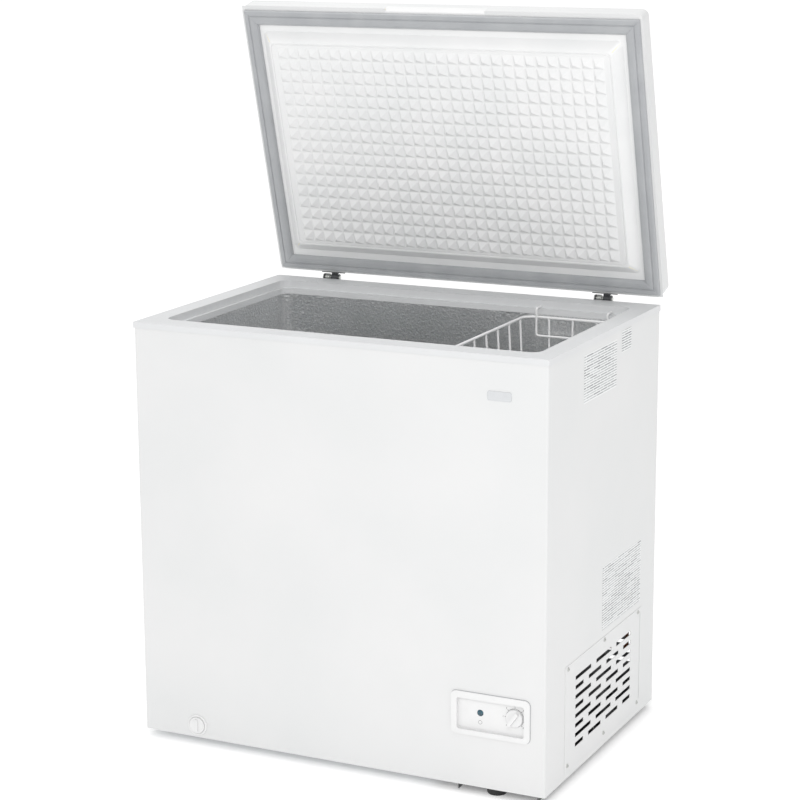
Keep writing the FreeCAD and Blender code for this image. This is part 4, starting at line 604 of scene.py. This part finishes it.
cross = wire_curve(WIRE)
CROSS_WIRES = 8
for index in range(CROSS_WIRES):
    share = (2 * index + 1) / (2 * CROSS_WIRES)
    high_y = rim_y[0] + (rim_y[1] - rim_y[0]) * share
    low_y = rim_y[0] + TAPER + (rim_y[1] - rim_y[0] - 2 * TAPER) * share
    wire(cross, bent([(rim_x[0], high_y, top_z), (rim_x[0] + TAPER, low_y, floor_z),
                      (rim_x[1] - TAPER, low_y, floor_z), (rim_x[1], high_y, top_z)], BEND))
add_piece("basket_cross_wires", cross, "wire_coating", "basket", ["basket_side_wires"])

along = wire_curve(WIRE)
LONG_WIRES = 3
upper_z = floor_z + 2 * WIRE - WELD_OVERLAP
for index in range(LONG_WIRES):
    share = (index + 1) / (LONG_WIRES + 1)
    high_x = rim_x[0] + (rim_x[1] - rim_x[0]) * share
    low_x = rim_x[0] + TAPER + (rim_x[1] - rim_x[0] - 2 * TAPER) * share
    wire(along, bent([(high_x, rim_y[0], top_z), (low_x, rim_y[0] + TAPER, upper_z),
                      (low_x, rim_y[1] - TAPER, upper_z), (high_x, rim_y[1], top_z)], BEND))
frame_x = (rim_x[0] + TAPER + FLOOR_IN_X, rim_x[1] - TAPER - FLOOR_IN_X)
frame_y = (rim_y[0] + TAPER + FLOOR_IN_Y, rim_y[1] - TAPER - FLOOR_IN_Y)
floor_frame = [(frame_x[0], frame_y[0], upper_z), (frame_x[1], frame_y[0], upper_z),
               (frame_x[1], frame_y[1], upper_z), (frame_x[0], frame_y[1], upper_z)]
wire(along, bent(floor_frame, FLOOR_BEND, 8, True), True)
add_piece("basket_long_wires", along, "wire_coating", "basket",
          ["basket_end_wires", "basket_floor_wires"])
print("basket wires:", 1 + CROSS_WIRES + LONG_WIRES + 1)

# %% [markdown]
# ## The printed dial
# The scale round the thermostat knob is pad printed on the panel. Ticks and plain numbers stand a
# tenth of a millimetre proud, as ink does.

# %% Print the dial
knob_low, knob_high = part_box("thermostat_knob")
lens_low, lens_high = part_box("indicator_lens")
panel_low, panel_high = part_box("control_panel")
knob_joint = [joint for joint in frame["joints"] if joint["name"] == "knob_turn"][0]
dial = Vector(knob_joint["pos_m"])
knob_reach = (knob_high.z - knob_low.z) / 2
LENS_SUNK = 2 * MM
recess_face = lens_high.y - LENS_SUNK
print("dial centre", [round(value, 4) for value in dial], "recess face", round(recess_face, 4))

TICKS, FIRST_TICK, TICK_STEP = 7, -135, 45
TICK_GAP, TICK_LONG, TICK_HALF = 1.6 * MM, 2.2 * MM, 0.35 * MM
INK, HALF_INK = 0.1 * MM, 0.05 * MM


def from_dial(index):
    """The direction out from the dial's centre to a tick, as an angle and a unit vector."""
    angle = math.radians(FIRST_TICK + TICK_STEP * index)
    return angle, Vector((math.sin(angle), 0, math.cos(angle)))


marks = bmesh.new()
for index in range(TICKS):
    angle, outward = from_dial(index)
    across = Vector((math.cos(angle), 0, -math.sin(angle))) * TICK_HALF
    near = Vector((dial.x, recess_face - HALF_INK, dial.z)) + outward * (knob_reach + TICK_GAP)
    far = near + outward * TICK_LONG
    corners = [near - across, near + across, far + across, far - across]
    face = marks.faces.new([marks.verts.new(corner) for corner in corners])
    risen = bmesh.ops.extrude_face_region(marks, geom=[face])
    moved = [item for item in risen["geom"] if isinstance(item, bmesh.types.BMVert)]
    bmesh.ops.translate(marks, vec=(0, -INK, 0), verts=moved)
add_piece("dial_ticks", mesh_from(marks), "black_plastic", "cabinet")

# %% [markdown]
# The numbers run from 0 to 6, one by each tick. Text is a curve too, so a little extrusion gives
# the ink its thickness. The small ring under the lamp is a plain mark for the running light. The
# thin dark ring just outside the knob is painted shade, standing for the shadow in the gap round
# it.

# %% Print the numbers
FACE_TURN = Matrix(((1, 0, 0), (0, 0, -1), (0, 1, 0))).to_4x4()
DIGIT_SIZE, DIGIT_GAP = 4.2 * MM, 6.6 * MM
for index in range(TICKS):
    outward = from_dial(index)[1]
    digit = bpy.data.curves.new("digit", "FONT")
    digit.body = str(index)
    digit.size = DIGIT_SIZE
    digit.align_x = "CENTER"
    digit.align_y = "CENTER"
    digit.extrude = HALF_INK
    place = Vector((dial.x, recess_face - INK, dial.z)) + outward * (knob_reach + DIGIT_GAP)
    add_piece(f"dial_number_{index}", digit, "black_plastic", "cabinet").matrix_world = (
        Matrix.Translation(place) @ FACE_TURN)

# %% The printed lamp ring, and the painted shade ring round the knob
RING_RADIUS, RING_DROP, RING_LINE, RING_STEPS = 3.3 * MM, 17 * MM, 0.22 * MM, 32
CIRCLE_GAP, CIRCLE_LINE, CIRCLE_STEPS = 0.9 * MM, 0.2 * MM, 48


def printed_circle(centre_x, centre_z, radius, steps):
    """Points round a circle on the face of the panel's recess."""
    turns = [step * math.tau / steps for step in range(steps)]
    return [(centre_x + radius * math.cos(turn), recess_face, centre_z + radius * math.sin(turn))
            for turn in turns]


lamp_ring = wire_curve(RING_LINE)
lamp_x = (lens_low.x + lens_high.x) / 2
ring_z = (lens_low.z + lens_high.z) / 2 - RING_DROP
wire(lamp_ring, printed_circle(lamp_x, ring_z, RING_RADIUS, RING_STEPS), True)
add_piece("lamp_ring_mark", lamp_ring, "black_plastic", "cabinet")
# Painted shade: a thin dark ring just outside the knob for the shadow in the gap round it.
knob_gap_shade_ring = wire_curve(CIRCLE_LINE)
wire(knob_gap_shade_ring, printed_circle(dial.x, dial.z, knob_reach + CIRCLE_GAP, CIRCLE_STEPS), True)
add_piece("knob_gap_shade_ring", knob_gap_shade_ring, "black_plastic", "cabinet")
print("lamp ring at", round(lamp_x, 4), round(ring_z, 4))

# %% [markdown]
# The panel is a separate moulding pushed into the sheet. The thin grey line all round it is painted
# shade: a soft-vinyl curve that stands for the shadow in the gap between panel and sheet.

# %% Painted shade line round the control panel
GAP_SHADE_RADIUS = 0.45 * MM
GAP_SHADE_BEND = 10 * MM
SEAM = 0.3 * MM
gap_shade_line = wire_curve(GAP_SHADE_RADIUS)
front_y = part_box("outer_wrap")[0].y
gap_shade_x = (panel_low.x - SEAM, panel_high.x + SEAM)
gap_shade_z = (panel_low.z - SEAM, panel_high.z + SEAM)
gap_shade_corners = [(gap_shade_x[0], front_y, gap_shade_z[0]), (gap_shade_x[1], front_y, gap_shade_z[0]),
                (gap_shade_x[1], front_y, gap_shade_z[1]), (gap_shade_x[0], front_y, gap_shade_z[1])]
wire(gap_shade_line, bent(gap_shade_corners, GAP_SHADE_BEND, 8, True), True)
# Painted shade: a grey curve along the gap round the panel, standing for the shadow in it.
add_piece("panel_gap_shade_line", gap_shade_line, "gasket_vinyl", "cabinet")

# %% [markdown]
# ## Screw recesses, drawn as painted shade
# Every screw on the grille and the rear cover has a cross recess. The mesh of a screw node holds
# several screws, so its outermost points are sorted into heads first, and each head gets two
# crossed thin bars of the dark steel finish: painted shade for the shadow inside the recess, which
# is not cut into the head.

# %% Painted shade in the cross recesses on the screw heads
HEAD_REACH = 9 * MM
SLOT_WIDE, SLOT_DEEP, SLOT_LONG = 0.5 * MM, 0.3 * MM, 3.8 * MM


def heads(name, axis):
    """The middle of each screw head in a node, on the side that faces out along an axis."""
    points = [vertex.co for vertex in nodes[name].data.vertices]
    far = max(point[axis] for point in points)
    centres = []
    for point in points:
        if point[axis] < far - SAME_LEVEL:
            continue
        group = [item for item in centres if (item[0] / item[1] - point).length < HEAD_REACH]
        if group:
            group[0][0] += point
            group[0][1] += 1
        else:
            centres.append([point.copy(), 1])
    return [total / count for total, count in centres]


recess_shade_bars = bmesh.new()
for name, axis in (("grille_screws", 0), ("rear_cover_screws", 1)):
    for centre in heads(name, axis):
        for long_axis in (1 - axis, 2):
            size = Vector([SLOT_WIDE] * 3)
            size[axis] = SLOT_DEEP
            size[long_axis] = SLOT_LONG
            made = bmesh.ops.create_cube(recess_shade_bars, size=1.0)
            bmesh.ops.scale(recess_shade_bars, vec=size, verts=made["verts"])
            bmesh.ops.translate(recess_shade_bars, vec=centre, verts=made["verts"])
# Dark bars of painted shade, set on each head where the shadow in its cross recess falls.
add_piece("screw_recess_shade", mesh_from(recess_shade_bars), "dark_steel", "cabinet")
print("recesses:", len(heads("grille_screws", 0)), "on the grille,",
      len(heads("rear_cover_screws", 1)), "behind")

# %% [markdown]
# ## Studio
# A catalogue picture of white goods is lit from everywhere: a white room, a broad light just
# above the camera to shape the edges, a smaller one over the open tank to reach its floor, and a
# pale ground. The camera stands to the right and a little above, with a long lens.

# %% Floor and room
FLOOR_REACH = 30
ROOM_STRENGTH = 0.86
GROUND_GLOW = 0.24
floor_mesh = bmesh.new()
bmesh.ops.create_grid(floor_mesh, x_segments=2, y_segments=2, size=FLOOR_REACH)
floor_data = bpy.data.meshes.new("floor")
floor_mesh.to_mesh(floor_data)
floor_mesh.free()
floor = bpy.data.objects.new("studio_floor", floor_data)
bpy.context.scene.collection.objects.link(floor)
# A backlit sheet of matt acrylic, as used for cut-out pictures: it glows a little, so the ground
# stays white.
ground = mottled(
    "Backlit_Matt_Acrylic", ("#FAFAFA", "#FCFCFC"), patch_mm=900, gloss=(0.85, 0.95), grain_mm=30,
    depth_mm=0.02, IOR=1.45, Specular_IOR_Level=0.1, Emission_Color=(1, 1, 1, 1),
    Emission_Strength=GROUND_GLOW)
floor_data.materials.append(ground)

world = bpy.data.worlds.new("studio")
bpy.context.scene.world = world
world.use_nodes = True
room = world.node_tree.nodes["Background"]
room.inputs["Color"].default_value = (1, 1, 1, 1)
room.inputs["Strength"].default_value = ROOM_STRENGTH
bpy.context.scene.view_settings.view_transform = "Standard"
print("room is white")

# %% Lights
def soft_light(name, place, aim, size, power):
    """A square soft box at a place, turned towards a point."""
    lamp = bpy.data.lights.new(name, "AREA")
    lamp.size = size
    lamp.energy = power
    made = bpy.data.objects.new(name, lamp)
    made.location = place
    made.rotation_euler = (Vector(aim) - Vector(place)).to_track_quat("-Z", "Y").to_euler()
    bpy.context.scene.collection.objects.link(made)
    return made


soft_light("key_softbox", place=(1.5, -3.0, 2.3), aim=(0.1, -0.1, 0.7), size=1.2, power=36)
soft_light("tank_softbox", place=(-0.4, 0.1, 2.9), aim=(-0.1, 0.0, 0.5), size=0.7, power=11)

# %% Camera
AZIMUTH = math.radians(25.83)
ELEVATION = math.radians(12.89)
ROLL = math.radians(-0.29)
FOCAL_MM, SENSOR_MM = 104.4, 36
STAND_X, STAND_OFF, STAND_Z = 1.8042, 3.4631, 1.5709
back = Vector((math.sin(AZIMUTH) * math.cos(ELEVATION),
               -math.cos(AZIMUTH) * math.cos(ELEVATION), math.sin(ELEVATION)))
level = Vector((math.cos(AZIMUTH), math.sin(AZIMUTH), 0))
upward = back.cross(level)
right = math.cos(ROLL) * level + math.sin(ROLL) * upward
upright = -math.sin(ROLL) * level + math.cos(ROLL) * upward
lens = bpy.data.cameras.new("camera")
lens.lens = FOCAL_MM
lens.sensor_width = SENSOR_MM
camera = bpy.data.objects.new("camera", lens)
bpy.context.scene.collection.objects.link(camera)
turn = Matrix((right, upright, back)).transposed().to_4x4()
camera.matrix_world = Matrix.Translation((STAND_X, front_y - STAND_OFF, STAND_Z)) @ turn
bpy.context.scene.camera = camera
print("camera at", [round(value, 3) for value in camera.matrix_world.translation])
